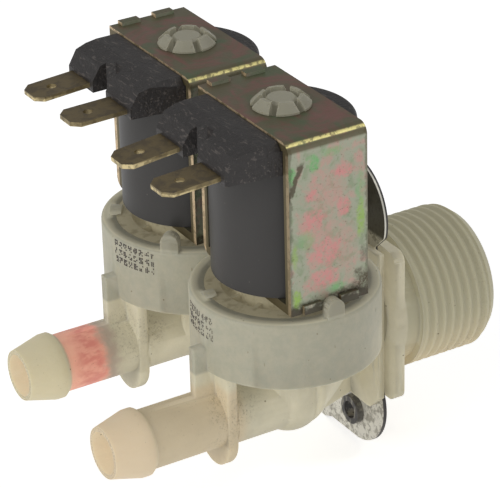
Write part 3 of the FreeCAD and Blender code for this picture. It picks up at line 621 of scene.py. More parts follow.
@dataclass(frozen=True)
class CoreTubePlastic:
    """Natural plastic of the core tubes: a pale crown above, and a rim below painted lighter against the
    coil's shade, with brown blotches that are partly painted shade.
    """

    name: str
    crown: Colour = paint(134, 131, 115)
    rim: Colour = paint(158, 150, 124)
    shade: Colour = paint(92, 82, 60)
    rim_z: Rise = (22.0, 24.0)
    crown_z: Rise = (49.0, 50.0)
    browned_and_shaded: Cloud = Cloud(1.6, 3.0, shift=3.0, mask=(0.5, 0.7), weight=0.4)
    glints: Cloud = Cloud(0.7, 3.0, 0.6, shift=1.5, mask=(0.64, 0.7), weight=0.35)
    fine: Cloud = Cloud(0.4)

    def make(self) -> Material:
        """Builds the material."""
        s = Shader(self.name)
        # Painted light and shade: the rim is painted lighter against the coil's shade, and its blotches
        # darker, partly brown and partly painted shade.
        low = s.z.fall(*self.rim_z)
        colour = s.blend(low, self.crown, self.rim)
        colour = s.blend(low * s.cloudy(self.browned_and_shaded), colour, self.shade)
        colour = s.blend(s.cloudy(self.glints) * s.z.rise(*self.crown_z), colour, self.shade)
        # Painted light: the core tube glows faintly in its own colour, standing in for light through the
        # plastic.
        return s.surface({"Base Color": colour, "Roughness": 0.38 + 0.12 * s.noise(self.browned_and_shaded),
                          "Specular IOR Level": 0.4, "Subsurface Weight": 0.45,
                          "Subsurface Radius": (1.0, 0.95, 0.8), "Subsurface Scale": 1.0 * MM,
                          "Emission Color": colour, "Emission Strength": 0.25,
                          "Normal": s.bump(s.noise(self.fine), 0.02)})


@dataclass(frozen=True)
class CoilPlastic:
    """Dark overmoulding: a smooth drum and a grainy terminal block."""

    name: str
    drum: Colour = paint(50, 48, 46)
    block: Colour = paint(47, 44, 43)
    dust: Colour = paint(112, 104, 98)
    block_z: Rise = (43.0, 44.5)
    cloud: Cloud = Cloud(6.0, 3.0, shift=2.0, mask=(0.5, 0.75), weight=0.25)
    dusty: Cloud = Cloud(5.0, 1.0, mask=(0.5, 0.6), weight=0.4)
    speck: Rise = (1.7, 0.1)
    scratches: Cloud = Cloud(0.5, 3.0, 0.5, 0.9, (1.0, 0.22, 1.0), 4.0, (0.58, 0.68), 0.45)
    grain: Cloud = Cloud(0.55, 4.0, 0.65)
    waves: Cloud = Cloud(1.6, 2.0, 0.5, 1.0, (1.0, 0.5, 1.0), 9.0)

    def make(self) -> Material:
        """Builds the material."""
        s = Shader(self.name)
        upper = s.z.rise(*self.block_z)
        colour = s.blend(upper, self.drum, self.block)
        colour = s.blend(s.cloudy(self.cloud), colour, self.block)
        dust = s.specks(*self.speck) * s.cloudy(self.dusty)
        colour = s.blend(dust.most(s.cloudy(self.scratches) * upper), colour, self.dust)
        height = s.noise(self.grain) * (0.06 + 0.54 * upper) + s.noise(self.waves) * upper
        return s.surface({"Base Color": colour, "Roughness": 0.4 + 0.06 * upper + 0.08 * s.noise(self.cloud),
                          "Specular IOR Level": 0.45, "Normal": s.bump(height, 0.2)})


def leg_spots(*rows: Sequence[float]) -> tuple[Patch, ...]:
    """Soft patches on the front leg.

    Args:
        rows: x, z, half width, half height and weight of each.

    Returns:
        The patches.
    """
    return tuple(Patch((x, LEG_Y, z), (width, LEG_HALF, height), weight)
                 for x, z, width, height, weight in rows)


@dataclass(frozen=True)
class PassivatedSteel:
    """Yellow passivated zinc on the bent yokes, stained and scratched, with painted highlights and painted
    shade on its rounded corners and edges, and tops painted darker for the dark surroundings they reflect.
    """

    name: str
    olive: Colour = paint(110, 105, 84)
    mauve: Colour = paint(134, 96, 88)
    leg: Colour = paint(180, 180, 162)
    sage: Colour = paint(150, 162, 134)
    edge: Colour = paint(214, 190, 154)
    edge_dark: Colour = paint(104, 94, 68)
    bend_highlight: Colour = paint(248, 236, 160)
    mossy: Coat = Coat(paint(94, 110, 82), 0.7)
    pink: Coat = Coat(paint(218, 148, 146), 0.9)
    green: Coat = Coat(paint(126, 184, 122))
    lime: Coat = Coat(paint(156, 192, 92), 0.9)
    grime: Coat = Coat(paint(84, 74, 58))
    soot_and_shade: Coat = Coat(paint(66, 58, 48), 0.9)
    streak: Cloud = Cloud(4.0, 3.0, 0.55, 1.2, (1.0, 0.45, 1.0), mask=(0.48, 0.68), weight=0.8)
    moss: Cloud = Cloud(5.0, 2.0, 0.5, 0.6, shift=3.0, mask=(0.5, 0.66))
    arcs: Cloud = Cloud(6.0, shift=8.0, mask=(0.4, 0.52))
    haze: Cloud = Cloud(7.0, 3.0, 0.6, shift=11.0, mask=(0.5, 0.7), weight=0.35)
    lines: Cloud = Cloud(0.6, 2.0, 0.5, 0.3, (0.14, 1.0, 1.0), 6.0, (0.6, 0.72), 0.25)
    breaks: Cloud = Cloud(1.0, 3.0, 0.6, shift=2.5)
    bend_breaks: Rise = (0.4, 0.54)
    side_breaks: Rise = (0.4, 0.5)
    lip_breaks: Rise = (0.42, 0.5)
    fray: Cloud = Cloud(1.6, 4.0, 0.65, shift=7.0)
    grain: Cloud = Cloud(0.9, 4.0, 0.75, shift=12.0, mask=(0.34, 0.6), weight=0.65)
    sage_cloud: Cloud = Cloud(2.4, 3.0, 0.6, 0.5, shift=4.0, mask=(0.52, 0.36), weight=0.55)
    pink_cloud: Cloud = Cloud(2.4, 3.0, 0.6, 0.5, shift=4.0, mask=(0.52, 0.72), weight=0.4)
    foot_fray: Cloud = Cloud(1.2, 3.0, 0.6, shift=9.0)
    pits: Cloud = Cloud(0.6, 4.0, 0.7, shift=5.0, mask=(0.58, 0.68), weight=0.4)
    dull: Cloud = Cloud(3.0, 3.0, shift=4.0)
    fine: Cloud = Cloud(0.6, 3.0)
    forward: Rise = (0.75, 0.95)
    rim_up: Triple = (0.66, 0.86, 0.05)
    rim_forward: Rise = (0.3, 0.42)
    corner_shade_up: Triple = (0.14, 0.6, 0.08)
    corner_shade_forward: Rise = (0.55, 0.75)
    sideways: Rise = (0.6, 0.9)
    upright_z: Rise = (48.06, 48.86)
    lip_z: Rise = (49.91, 50.11)
    outer_y: Rise = (12.95, 13.15)
    front_y: Rise = (20.0, 21.0)
    foot_z: Rise = (20.85, 22.15)
    leg_x: Triple = (-31.1, -17.2, 0.25)
    well_x: float = -24.2
    well_y: float = 15.15
    arc_r: Triple = (6.8, 11.2, 0.8)
    ripple: float = 4.2
    smear: tuple[tuple[float, float], tuple[float, float]] = ((-29.2, 46.6), (-31.7, 40.4))
    smear_half: Rise = (0.3, 0.75)
    pinks: tuple[Patch, ...] = leg_spots(
        (-21.5, 43.6, 2.4, 1.4, 1.0), (-18.6, 45.2, 1.0, 1.2, 0.6), (-27.4, 40.6, 1.4, 1.3, 1.0),
        (-21.5, 37.3, 1.4, 1.8, 1.0), (-27.1, 36.0, 2.4, 2.2, 1.0), (-24.9, 30.0, 3.6, 2.8, 1.0),
        (-25.2, 25.3, 3.4, 1.8, 1.0), (-24.6, 40.4, 3.6, 4.2, 0.45), (-25.8, 33.2, 3.2, 3.0, 0.5),
        (-21.6, 30.0, 2.6, 5.0, 0.4))
    greens: tuple[Patch, ...] = leg_spots(
        (-27.0, 46.3, 1.3, 1.5, 1.0), (-31.0, 45.0, 0.8, 1.6, 1.0), (-18.2, 39.5, 0.9, 3.0, 0.5),
        (-23.0, 23.0, 1.7, 0.9, 0.8), (-28.6, 33.0, 1.6, 1.6, 0.5), (-23.6, 47.4, 2.4, 0.8, 0.6))
    limes: tuple[Patch, ...] = leg_spots(
        (-18.2, 34.4, 0.8, 3.4, 0.9), (-30.4, 22.8, 0.9, 1.8, 1.0), (-30.7, 30.5, 0.7, 2.2, 0.7))
    stains: tuple[Patch, ...] = leg_spots(
        (-18.2, 23.0, 1.5, 2.2, 1.0), (-21.6, 21.8, 2.6, 0.9, 0.8), (-17.8, 27.6, 0.6, 1.6, 0.5))

    def make(self) -> Material:
        """Builds the material."""
        s = Shader(self.name)
        breaks = s.noise(self.breaks)
        # Partly painted reflection: the top plates are painted a darker olive than the front leg, for the
        # dark surroundings they reflect; their tarnish is their own.
        colour = s.blend((-s.facing_y).rise(*self.forward), self.tops(s), self.front_leg(s))
        # Painted shade: a dark band on the rounded corner of each top plate, just beneath its highlight.
        corner_shade = s.facing_z.between(*self.corner_shade_up) * (-s.facing_y).rise(*self.corner_shade_forward)
        colour = s.blend(corner_shade * 0.75, colour, self.edge_dark)
        # Painted highlight: a bright broken line on the rounded corner between each top plate and its front
        # leg.
        rim = s.facing_z.between(*self.rim_up) * (-s.facing_y).rise(*self.rim_forward)
        colour = s.blend(rim * (0.25 + breaks.rise(*self.bend_breaks, 0.65)), colour, self.bend_highlight)
        outer = abs(abs(s.y) - self.well_y).rise(*self.outer_y)
        shown = 1 - (-s.y).rise(*self.front_y, 0.6)
        sides = s.z.fall(*self.upright_z) * outer * shown * (0.55 + breaks.rise(*self.side_breaks, 0.45))
        # Painted highlight: a bright broken line along the upper corner of the top plates' cut sides; the
        # legs' cut sides show their own bright edge colour.
        lip_highlight = s.z.rise(*self.lip_z) * (0.4 + breaks.rise(*self.lip_breaks, 0.6))
        cut = s.blend(sides.most(lip_highlight), self.edge_dark, self.edge)
        colour = s.blend(abs(s.facing_x).rise(*self.sideways), colour, cut)
        return s.surface({"Base Color": colour, "Metallic": 0.6, "Specular IOR Level": 0.4,
                          "Roughness": 0.34 + 0.2 * s.noise(self.dull),
                          "Normal": s.bump(s.noise(self.fine), 0.03)})

    def tops(self, s: Shader) -> Socket:
        """Olive top plates, painted darker for the dark surroundings they reflect, with mauve and mossy
        streaks.

        Args:
            s: the material's nodes.

        Returns:
            The colour.
        """
        colour = s.blend(s.cloudy(self.streak), self.olive, self.mauve)
        colour = s.coat(colour, s.cloudy(self.moss), self.mossy)
        off_x, off_y = s.x - self.well_x, abs(s.y) - self.well_y
        radius = s.math("SQRT", off_x * off_x + off_y * off_y) + (s.noise(self.streak) - 0.5) * 2.0
        ripples = s.math("SINE", radius * self.ripple) * 0.5 + 0.5
        arc = radius.between(*self.arc_r) * s.cloudy(self.arcs)
        colour = s.blend(arc * (0.35 + 0.4 * ripples), colour, self.mauve)
        colour = s.blend(s.cloudy(self.haze), colour, self.edge_dark)
        return s.blend(s.cloudy(self.lines), colour, self.edge_dark)

    def front_leg(self, s: Shader) -> Socket:
        """The upright leg with its rainbow tarnish, and painted shade with some grime at its lower end.

        Args:
            s: the material's nodes.

        Returns:
            The colour.
        """
        fray = s.noise(self.fray)
        grain = 0.35 + s.cloudy(self.grain)
        colour = s.blend(0.3 + s.cloudy(self.sage_cloud), self.leg, self.sage)
        colour = s.blend(s.cloudy(self.pink_cloud), colour, self.pink.colour)
        for tint, places in ((self.pink, self.pinks), (self.green, self.greens),
                             (self.lime, self.limes), (self.grime, self.stains)):
            colour = s.coat(colour, s.patches(places, fray, 3.2) * grain, tint)
        (top_x, top_z), (low_x, low_z) = self.smear
        slope = (low_x - top_x) / (low_z - top_z)
        x = s.x + (fray - 0.5) * 2.0
        off = x - top_x - (s.z - top_z) * slope
        stroke = abs(off).fall(*self.smear_half) * s.z.between(low_z, top_z, 0.5)
        # Painted shade with some grime: the leg is darkened towards its lower end, where it meets the cup.
        foot_shade = (s.z + (s.noise(self.foot_fray) - 0.5) * 4.0).fall(*self.foot_z)
        sides = 1 - x.between(*self.leg_x)
        colour = s.blend(stroke * 0.85, colour, self.grime.colour)
        colour = s.coat(colour, foot_shade, self.soot_and_shade)
        colour = s.blend(sides * 0.5, colour, self.grime.colour)
        return s.blend(s.cloudy(self.pits), colour, self.grime.colour)


@dataclass(frozen=True)
class GalvanisedSheet:
    """Spotted zinc of the bracket, its upper ear painted dark as shade and as the dark coil it reflects."""

    name: str
    light: Colour = paint(222, 219, 208)
    grey: Colour = paint(164, 160, 148)
    rim: Colour = paint(236, 233, 220)
    soot_and_shade: Colour = paint(72, 70, 70)
    cream: Colour = paint(168, 162, 140)
    dark: Coat = Coat(paint(82, 79, 68), 0.92)
    cloud: Cloud = Cloud(1.4, 4.0, 0.7, 0.4, mask=(0.46, 0.62))
    spots: Cloud = Cloud(0.6, 3.0, 0.6, shift=2.0, mask=(0.6, 0.68), weight=0.7)
    streaks: Cloud = Cloud(1.2, 3.0, 0.6, 0.0, (1.0, 1.0, 0.3), 3.0, (0.5, 0.6), 0.6)
    fine: Cloud = Cloud(0.5, 3.0)
    upper_z: Rise = (16.1, 17.0)
    hole_z: float = 21.5
    boss_r: float = 2.75
    boss_edge: Rise = (0.9, 1.15)
    sideways: Rise = (0.4, 0.7)
    bright_z: Rise = (0.0, 1.0)
    bright_x: Rise = (-0.45, -0.3)
    middle_z: Rise = (10.0, 12.0)

    def make(self) -> Material:
        """Builds the material."""
        s = Shader(self.name)
        colour = s.blend(s.cloudy(self.cloud), self.light, self.grey)
        colour = s.blend(s.cloudy(self.spots), colour, self.soot_and_shade)
        # Painted shade and painted reflection: the upper ear is darkened, for the shade of the coil and the
        # dark coil it reflects.
        colour = s.coat(colour, s.z.rise(*self.upper_z), self.dark)
        # The boss round the tapped hole is dark and streaked: partly stains, partly painted shade.
        up = abs(s.z) - self.hole_z
        near = ((s.y * s.y + up * up) / (self.boss_r * self.boss_r)).fall(*self.boss_edge)
        colour = s.blend(near, colour, s.blend(s.cloudy(self.streaks), self.soot_and_shade, self.grey))
        # Painted highlight and painted shade: the cut edges are painted bright on the upper half and dark
        # elsewhere, for the light from above.
        edge = abs(s.facing_x).fall(*self.sideways) * (1 - near)
        bright = s.z.rise(*self.bright_z) * s.x.fall(*self.bright_x)
        colour = s.blend(edge, colour, s.blend(bright, self.soot_and_shade, self.rim))
        colour = s.blend(abs(s.z).fall(*self.middle_z), colour, self.cream)
        return s.surface({"Base Color": colour, "Metallic": 0.35, "Specular IOR Level": 0.4,
                          "Roughness": 0.45 + 0.15 * (s.noise(self.cloud) - 0.5),
                          "Normal": s.bump(s.noise(self.fine), 0.04)})


@dataclass(frozen=True)
class BladeBrass:
    """Tarnished blades with bright stamped edges, brightest along their lower corner as a painted highlight.
    """

    name: str
    face: Colour = paint(113, 99, 69)
    other: Colour = paint(94, 83, 63)
    edge: Colour = paint(216, 198, 150)
    cloud: Cloud = Cloud(2.2, 3.0, 0.6, 0.5, mask=(0.4, 0.62))
    breaks: Cloud = Cloud(1.6, 3.0, 0.6, shift=2.0, mask=(0.42, 0.6), weight=0.7)
    fine: Cloud = Cloud(0.5, 3.0)
    flat: Rise = (0.5, 0.8)
    edge_z: Rise = (45.1, 45.35)

    def make(self) -> Material:
        """Builds the material."""
        s = Shader(self.name)
        colour = s.blend(s.cloudy(self.cloud), self.face, self.other)
        # Partly painted highlight: the stamped edges are bright bare metal only in the lower part of their
        # thickness, which reads as a thin highlight line.
        side = abs(s.facing_z).fall(*self.flat) * (1 - s.z.rise(*self.edge_z, 0.75))
        colour = s.blend(side * (0.3 + s.cloudy(self.breaks)), colour, self.edge)
        return s.surface({"Base Color": colour, "Metallic": 0.6, "Specular IOR Level": 0.4,
                          "Roughness": 0.36 + 0.12 * s.noise(self.cloud),
                          "Normal": s.bump(s.noise(self.fine), 0.02)})


@dataclass(frozen=True)
class DullMetal:
    """Plain metal of the pieces inside."""

    name: str
    face: Colour
    other: Colour
    roughness: float = 0.4
    cloud: Cloud = Cloud(1.5, 4.0, 0.65, 0.4, mask=(0.4, 0.62))
    fine: Cloud = Cloud(0.5, 3.0)

    def make(self) -> Material:
        """Builds the material."""
        s = Shader(self.name)
        colour = s.blend(s.cloudy(self.cloud), self.face, self.other)
        return s.surface({"Base Color": colour, "Metallic": 0.7,
                          "Roughness": self.roughness + 0.18 * (s.noise(self.cloud) - 0.5),
                          "Normal": s.bump(s.noise(self.fine), 0.03)})


class Finish(Enum):
    """The finishes of the valve, by the record's material slot."""

    BODY = "body_plastic"
    BRACKET = "bracket_steel"
    STRAINER = "strainer_plastic"
    COIL = "coil_plastic"
    BLADE = "terminal_brass"
    YOKE = "yoke_steel"
    GUIDE = "guide_plastic"
    RED = "red_plastic"
    FORMER = "former_plastic"
    WINDING = "winding_copper"
    CORE = "core_steel"
    SPRING = "spring_steel"
    RUBBER = "seal_rubber"
    INK = "ink"


RECIPES = {
    Finish.BODY: NaturalPlastic("natural moulding"),
    Finish.BRACKET: GalvanisedSheet("galvanised sheet"),
    Finish.STRAINER: PlainPlastic("strainer plastic", paint(205, 202, 190), through=0.2),
    Finish.COIL: CoilPlastic("coil overmoulding"),
    Finish.BLADE: BladeBrass("tarnished brass"),
    Finish.YOKE: PassivatedSteel("passivated zinc"),
    Finish.GUIDE: CoreTubePlastic("core tube plastic"),
    Finish.RED: PlainPlastic("red cartridge", paint(200, 72, 62)),
    Finish.FORMER: PlainPlastic("former plastic", paint(200, 196, 184)),
    Finish.WINDING: DullMetal("winding copper", paint(170, 100, 62), paint(140, 78, 46)),
    Finish.CORE: DullMetal("core steel", paint(168, 168, 166), paint(150, 150, 148)),
    Finish.SPRING: DullMetal("spring steel", paint(180, 180, 176), paint(160, 160, 156)),
    Finish.RUBBER: PlainPlastic("seal rubber", paint(46, 46, 46), 0.6),
    Finish.INK: PlainPlastic("printing ink", paint(58, 50, 48), 0.6),
}


class Finishes:
    """Makes each finish once and keeps it."""

    def __init__(self) -> None:
        """Starts with no material made."""
        self.made: dict[Finish, Material] = {}

    def get(self, finish: Finish) -> Material:
        """The material of one finish."""
        if finish not in self.made:
            self.made[finish] = RECIPES[finish].make()
        return self.made[finish]

    def dress(self, node: str, finish: Finish) -> None:
        """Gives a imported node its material.

        Args:
            node: the node's name.
            finish: its finish.
        """
        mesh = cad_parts[node].data
        mesh.materials.clear()
        mesh.materials.append(self.get(finish))
        LOG.info("dressed %s in %s", node, finish.value)


@dataclass
class InletMoulding:
    """The valve's moulding with a real thread on its inlet, sizes in millimetres."""

    finishes: Finishes
    start_x: float = 5.0
    end_x: float = 21.1
    major_r: float = 13.22
    chamfer_len: float = 1.9
    chamfer_depth: float = 1.5
    depth: float = 0.54
    pitch: float = 1.814
    run_out: float = 0.9
    root_share: float = 0.14
    flank_share: float = 0.68
    rows: int = 160
    columns: int = 144
    near: float = 0.03
    joint: float = 0.001
    weld: float = 0.0001

    def build(self) -> None:
        """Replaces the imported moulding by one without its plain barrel, and adds the thread."""
        material = self.finishes.get(Finish.BODY)
        shell = self.shell(material)
        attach(shell, "valve")
        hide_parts("valve_body")
        thread = self.thread(material)
        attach(thread, "valve")
        LOG.info("built the moulding and its thread")

    def shell(self, material: Material) -> Piece:
        """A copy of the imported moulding, open where the thread goes.

        Args:
            material: its material.

        Returns:
            The copy.
        """
        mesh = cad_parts["valve_body"].data.copy()
        mesh.name = "moulding"
        work = bmesh.new()
        work.from_mesh(mesh)
        bmesh.ops.remove_doubles(work, verts=work.verts, dist=self.weld * MM)
        barrel = [f for f in work.faces if all(self.on_barrel(v.co) for v in f.verts)]
        bmesh.ops.delete(work, geom=barrel, context="FACES")
        work.to_mesh(mesh)
        work.free()
        mesh.materials.clear()
        mesh.materials.append(material)
        made = bpy.data.objects.new("moulding", mesh)
        bpy.context.scene.collection.objects.link(made)
        return even_normals(made)

    def on_barrel(self, point: Vector) -> bool:
        """Whether a point lies on the plain barrel or its end chamfer.

        Args:
            point: the point, in metres.

        Returns:
            True if it does.
        """
        x = point.x / MM
        radius = math.hypot(point.y, point.z) / MM
        taper = max(0.0, x - (self.end_x - self.chamfer_len)) / self.chamfer_len
        wanted = self.major_r - self.chamfer_depth * taper
        return x > self.start_x - self.near and abs(radius - wanted) < self.near

    def thread(self, material: Material) -> Piece:
        """The thread's surface: a rolled grid whose radius follows the helix.

        Args:
            material: its material.

        Returns:
            The thread.
        """
        sizes = {"Start": self.start_x, "Length": self.end_x - self.start_x, "Radius": self.major_r,
                 "Depth": self.depth, "Pitch": self.pitch, "Run Out": self.run_out,
                 "Chamfer Length": self.chamfer_len, "Chamfer Depth": self.chamfer_depth}
        tree = Forming("inlet thread", {key: size * MM for key, size in sizes.items()}
                       | {"Rows": self.rows, "Columns": self.columns})
        grid, u, v = tree.grid("Rows", "Columns")
        length, radius = tree.size("Length"), tree.size("Radius")
        run_out, chamfer = tree.size("Run Out"), tree.size("Chamfer Length")
        along, turn = (u + 0.5) * length, v + 0.5
        phase = tree.math("FRACT", along / tree.size("Pitch") - turn + 1.0)
        crest = ((abs(2 * phase - 1) - self.root_share) / self.flank_share).share()
        ends = (along / run_out).share() * ((length - along) / run_out).share()
        into = ((along - length + chamfer) / chamfer).share()
        helix = radius - tree.size("Depth") * (1 - crest) * ends
        radius = helix.least(radius - tree.size("Chamfer Depth") * into)
        angle = turn * (2 * math.pi)
        placed = tree.place(grid, tree.size("Start") + along, radius * tree.math("COSINE", angle),
                            radius * tree.math("SINE", angle))
        joined = tree.node("GeometryNodeMergeByDistance", None,
                           {"Geometry": placed, "Distance": self.joint * MM})
        tree.close(joined.outputs[0])
        made = tree.piece("inlet_thread", material)
        face_away_from_axis(made)
        shade_by_angle(made)
        return made


def face_away_from_axis(piece: Piece) -> None:
    """Turns the faces of a sleeve round the X axis outwards.

    Args:
        piece: the sleeve.
    """
    work = bmesh.new()
    work.from_mesh(piece.data)
    for face in work.faces:
        middle = face.calc_center_median()
        if face.normal.dot(Vector((0.0, middle.y, middle.z))) < 0:
            face.normal_flip()
    work.to_mesh(piece.data)
    work.free()


def shade_by_angle(piece: Piece, degrees: float = 32.0) -> None:
    """Smooth shading that keeps edges sharper than the angle.

    Args:
        piece: what to shade.
        degrees: the angle.
    """
    mesh = piece.data
    mesh.shade_smooth()
    mesh.set_sharp_from_angle(angle=math.radians(degrees))


def even_normals(piece: Piece) -> Piece:
    """Shades by angle, with large faces kept flat beside their rounded edges.

    Args:
        piece: what to shade.

    Returns:
        The same piece.
    """
    shade_by_angle(piece)
    modifier = piece.modifiers.new("normals", "WEIGHTED_NORMAL")
    modifier.keep_sharp = True
    modifier.weight = LARGE_FACES
    bpy.context.view_layer.update()
    graph = bpy.context.evaluated_depsgraph_get()
    mesh = bpy.data.meshes.new_from_object(piece.evaluated_get(graph), preserve_all_data_layers=True,
                                           depsgraph=graph)
    piece.modifiers.clear()
    piece.data = mesh
    mesh.name = piece.name
    return piece


@dataclass(frozen=True)
class PrintField:
    """Where one field of printed dots wraps round a cup: angles in degrees, heights in millimetres."""

    name: str
    well_y: float
    start_angle: float
    top_z: float
    columns: int
    rows: int
    seed: int


@dataclass
class PrintedDots:
    """Rows of small ink dots on the cups."""

    finishes: Finishes
    well_x: float = -24.2
    cup_r: float = 16.1
    lift: float = 0.015
    dot_r: float = 0.15
    pitch: float = 0.30
    line_rows: int = 4
    line_gap: int = 1
    mark_columns: int = 3
    mark_gap: int = 1
    chance: float = 0.6
    dot_corners: int = 10
    fields: tuple[PrintField, ...] = (
        PrintField("rear_cup_dots", 15.15, 183.5, 18.0, 30, 14, 3),
        PrintField("front_cup_dots", -15.15, 162.5, 17.0, 28, 14, 8))

    def build(self) -> None:
        """Prints every field."""
        for field in self.fields:
            made = self.row_dots(field)
            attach(made, "valve")
            LOG.info("printed %s", field.name)

    def row_dots(self, field: PrintField) -> Piece:
        """One field: a grid of points, thinned at random, wrapped round the cup and turned into flat dots.

        Args:
            field: its place and size.

        Returns:
            The dots.
        """
        sizes = {"Centre X": self.well_x * MM, "Centre Y": field.well_y * MM,
                 "Radius": (self.cup_r + self.lift) * MM, "Start Angle": math.radians(field.start_angle),
                 "Top": field.top_z * MM, "Pitch": self.pitch * MM,
                 "Dot Radius": self.dot_r * MM, "Chance": self.chance,
                 "Columns": field.columns, "Rows": field.rows, "Seed": field.seed}
        tree = Forming(field.name, sizes)
        grid, u, v = tree.grid("Columns", "Rows")
        column = (u + 0.5) * (tree.size("Columns") - 1)
        row = (0.5 - v) * (tree.size("Rows") - 1)
        in_line, in_mark = (
            tree.math("LESS_THAN", tree.math("MODULO", place + 0.5, float(inked + gap)), float(inked))
            for place, inked, gap in ((row, self.line_rows, self.line_gap),
                                      (column, self.mark_columns, self.mark_gap)))
        luck = tree.node("FunctionNodeRandomValue", {"data_type": "FLOAT"}, {"Seed": tree.size("Seed")})
        inked = tree.math("LESS_THAN", Term(tree, luck.outputs[1]), tree.size("Chance"))
        bare = 1 - in_line * in_mark * inked
        thin = tree.node("GeometryNodeDeleteGeometry", {"domain": "POINT"},
                         {"Geometry": grid, "Selection": bare})
        angle = tree.size("Start Angle") + column * tree.size("Pitch") / tree.size("Radius")
        placed = tree.place(thin.outputs[0],
                            tree.size("Centre X") + tree.size("Radius") * tree.math("COSINE", angle),
                            tree.size("Centre Y") + tree.size("Radius") * tree.math("SINE", angle),
                            tree.size("Top") - row * tree.size("Pitch"))
        dot = tree.node("GeometryNodeMeshCircle", {"fill_type": "NGON"},
                        {"Vertices": self.dot_corners, "Radius": tree.size("Dot Radius")})
        tilt = tree.node("ShaderNodeCombineXYZ", None, {1: 0.5 * math.pi, 2: angle})
        dots = tree.node("GeometryNodeInstanceOnPoints", None,
                         {"Points": placed, "Instance": dot.outputs[0], "Rotation": tilt.outputs[0]})
        tree.close(dots.outputs[0])
        return tree.piece(field.name, self.finishes.get(Finish.INK))


@dataclass
class Coils:
    """Both coils with their yokes, blades and inner pieces."""

    finishes: Finishes
    nodes: tuple[tuple[str, Finish], ...] = (
        ("coil_moulding", Finish.COIL), ("terminal_inner", Finish.BLADE), ("terminal_outer", Finish.BLADE),
        ("yoke_upper", Finish.YOKE), ("yoke_lower", Finish.YOKE), ("guide_tube", Finish.GUIDE),
        ("bobbin", Finish.FORMER), ("winding", Finish.WINDING), ("sleeve_lower", Finish.CORE),
        ("sleeve_upper", Finish.CORE), ("plunger", Finish.CORE), ("plunger_tip", Finish.RUBBER),
        ("plunger_spring", Finish.SPRING), ("diaphragm", Finish.RUBBER), ("diaphragm_insert", Finish.GUIDE),
        ("regulator_ring", Finish.RUBBER))

    def build(self) -> None:
        """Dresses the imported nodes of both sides."""
        for side in ("front", "rear"):
            for node, finish in self.nodes:
                self.finishes.dress(f"{side}_{node}", finish)
        self.finishes.dress("front_regulator_body", Finish.GUIDE)
        self.finishes.dress("rear_regulator_body", Finish.RED)


@dataclass
class Fittings:
    """The bracket and the strainer."""

    finishes: Finishes

    def build(self) -> None:
        """Dresses both."""
        self.finishes.dress("mounting_bracket", Finish.BRACKET)
        self.finishes.dress("inlet_strainer", Finish.STRAINER)


@dataclass
class Lamp:
    """One soft lamp: where it hangs, what it lights and how much."""

    name: str
    place: Sequence[float]
    size: float
    power: float


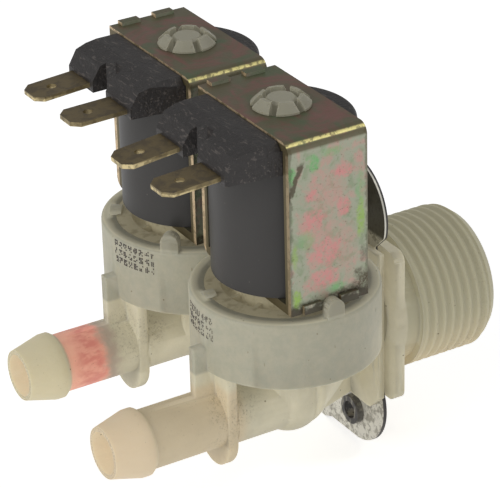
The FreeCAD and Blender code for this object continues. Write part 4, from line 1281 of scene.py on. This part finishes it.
@dataclass
class Studio:
    """White floor, even light and the camera at the photograph's angle, in metres."""

    target: Sequence[float] = (-0.022, 0.0, 0.010)
    floor_z: float = -0.0283
    floor_half: float = 3.0
    camera_place: Sequence[float] = (-0.23127, -0.35683, 0.23261)
    camera_right: Sequence[float] = (0.85567, -0.51694, -0.02443)
    camera_up: Sequence[float] = (0.25678, 0.38312, 0.88730)
    lens: float = 196.70
    sensor: float = 36.0
    clip: tuple[float, float] = (0.01, 20.0)
    white: Colour = (1.0, 1.0, 1.0, 1.0)
    world_level: float = 0.42
    world_shown: float = 1.0
    floor_colour: Colour = (0.9, 0.9, 0.9, 1.0)
    floor_glow: float = 0.28
    floor_shown: float = 0.56
    lamps: tuple[Lamp, ...] = (
        Lamp("key", (-0.72, -0.16, 0.30), 0.45, 2.4),
        Lamp("rim", (0.42, -0.30, 0.52), 0.16, 0.6))

    def build(self) -> None:
        """Sets up everything that isn't part of the valve."""
        self.backdrop()
        self.light()
        self.camera()

    def backdrop(self) -> None:
        """A white floor that keeps the valve's shadow."""
        half = self.floor_half
        mesh = bpy.data.meshes.new("floor")
        outline = [(x * half, y * half, self.floor_z) for x, y in ((-1, -1), (1, -1), (1, 1), (-1, 1))]
        mesh.from_pydata(outline, [], [(0, 1, 2, 3)])
        floor = bpy.data.objects.new("floor", mesh)
        bpy.context.scene.collection.objects.link(floor)
        s = Shader("floor")
        matt = s.node("ShaderNodeBsdfDiffuse", None, {"Color": self.floor_colour})
        rays = s.node("ShaderNodeLightPath").outputs["Is Camera Ray"]
        glow, shown = (s.node("ShaderNodeEmission", None, {"Strength": level}).outputs[0]
                       for level in (self.floor_glow, self.floor_shown))
        glow = s.node("ShaderNodeMixShader", None, {0: rays, 1: glow, 2: shown})
        both = s.node("ShaderNodeAddShader", None, {0: matt.outputs[0], 1: glow.outputs[0]})
        s.node("ShaderNodeOutputMaterial", None, {"Surface": both.outputs[0]})
        mesh.materials.append(s.material)

    def light(self) -> None:
        """An even world and soft lamps."""
        world = bpy.data.worlds.new("studio")
        bpy.context.scene.world = world
        world.use_nodes = True
        tree = Tree(world.node_tree)
        rays = tree.node("ShaderNodeLightPath").outputs["Is Camera Ray"]
        dim, white = (tree.node("ShaderNodeBackground", None, {"Color": self.white, "Strength": level})
                      for level in (self.world_level, self.world_shown))
        sky = tree.node("ShaderNodeMixShader", None, {0: rays, 1: dim.outputs[0], 2: white.outputs[0]})
        tree.node("ShaderNodeOutputWorld", None, {"Surface": sky.outputs[0]})
        for lamp in self.lamps:
            data = bpy.data.lights.new(lamp.name, "AREA")
            data.shape = "DISK"
            data.size = lamp.size
            data.energy = lamp.power
            made = bpy.data.objects.new(lamp.name, data)
            made.location = lamp.place
            made.rotation_mode = "QUATERNION"
            aim = Vector(self.target) - Vector(lamp.place)
            made.rotation_quaternion = aim.to_track_quat("-Z", "Y")
            bpy.context.scene.collection.objects.link(made)

    def camera(self) -> None:
        """The camera, placed by a fit to the photograph."""
        right = Vector(self.camera_right)
        up = Vector(self.camera_up)
        back = right.cross(up)
        data = bpy.data.cameras.new("camera")
        data.lens = self.lens
        data.sensor_width = self.sensor
        data.clip_start, data.clip_end = self.clip
        made = bpy.data.objects.new("camera", data)
        turn = Matrix((right, up, back)).transposed().to_4x4()
        made.matrix_world = Matrix.Translation(Vector(self.camera_place)) @ turn
        bpy.context.scene.collection.objects.link(made)
        bpy.context.scene.camera = made


def main() -> None:
    """Builds the sub-assemblies in order."""
    logging.basicConfig(level=logging.INFO)
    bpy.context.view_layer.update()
    finishes = Finishes()
    for part in (InletMoulding(finishes), PrintedDots(finishes), Coils(finishes),
                 Fittings(finishes), Studio()):
        part.build()
        LOG.info("finished %s", type(part).__name__)
    bpy.context.scene.view_settings.view_transform = "Standard"


if __name__ == "__main__":
    main()
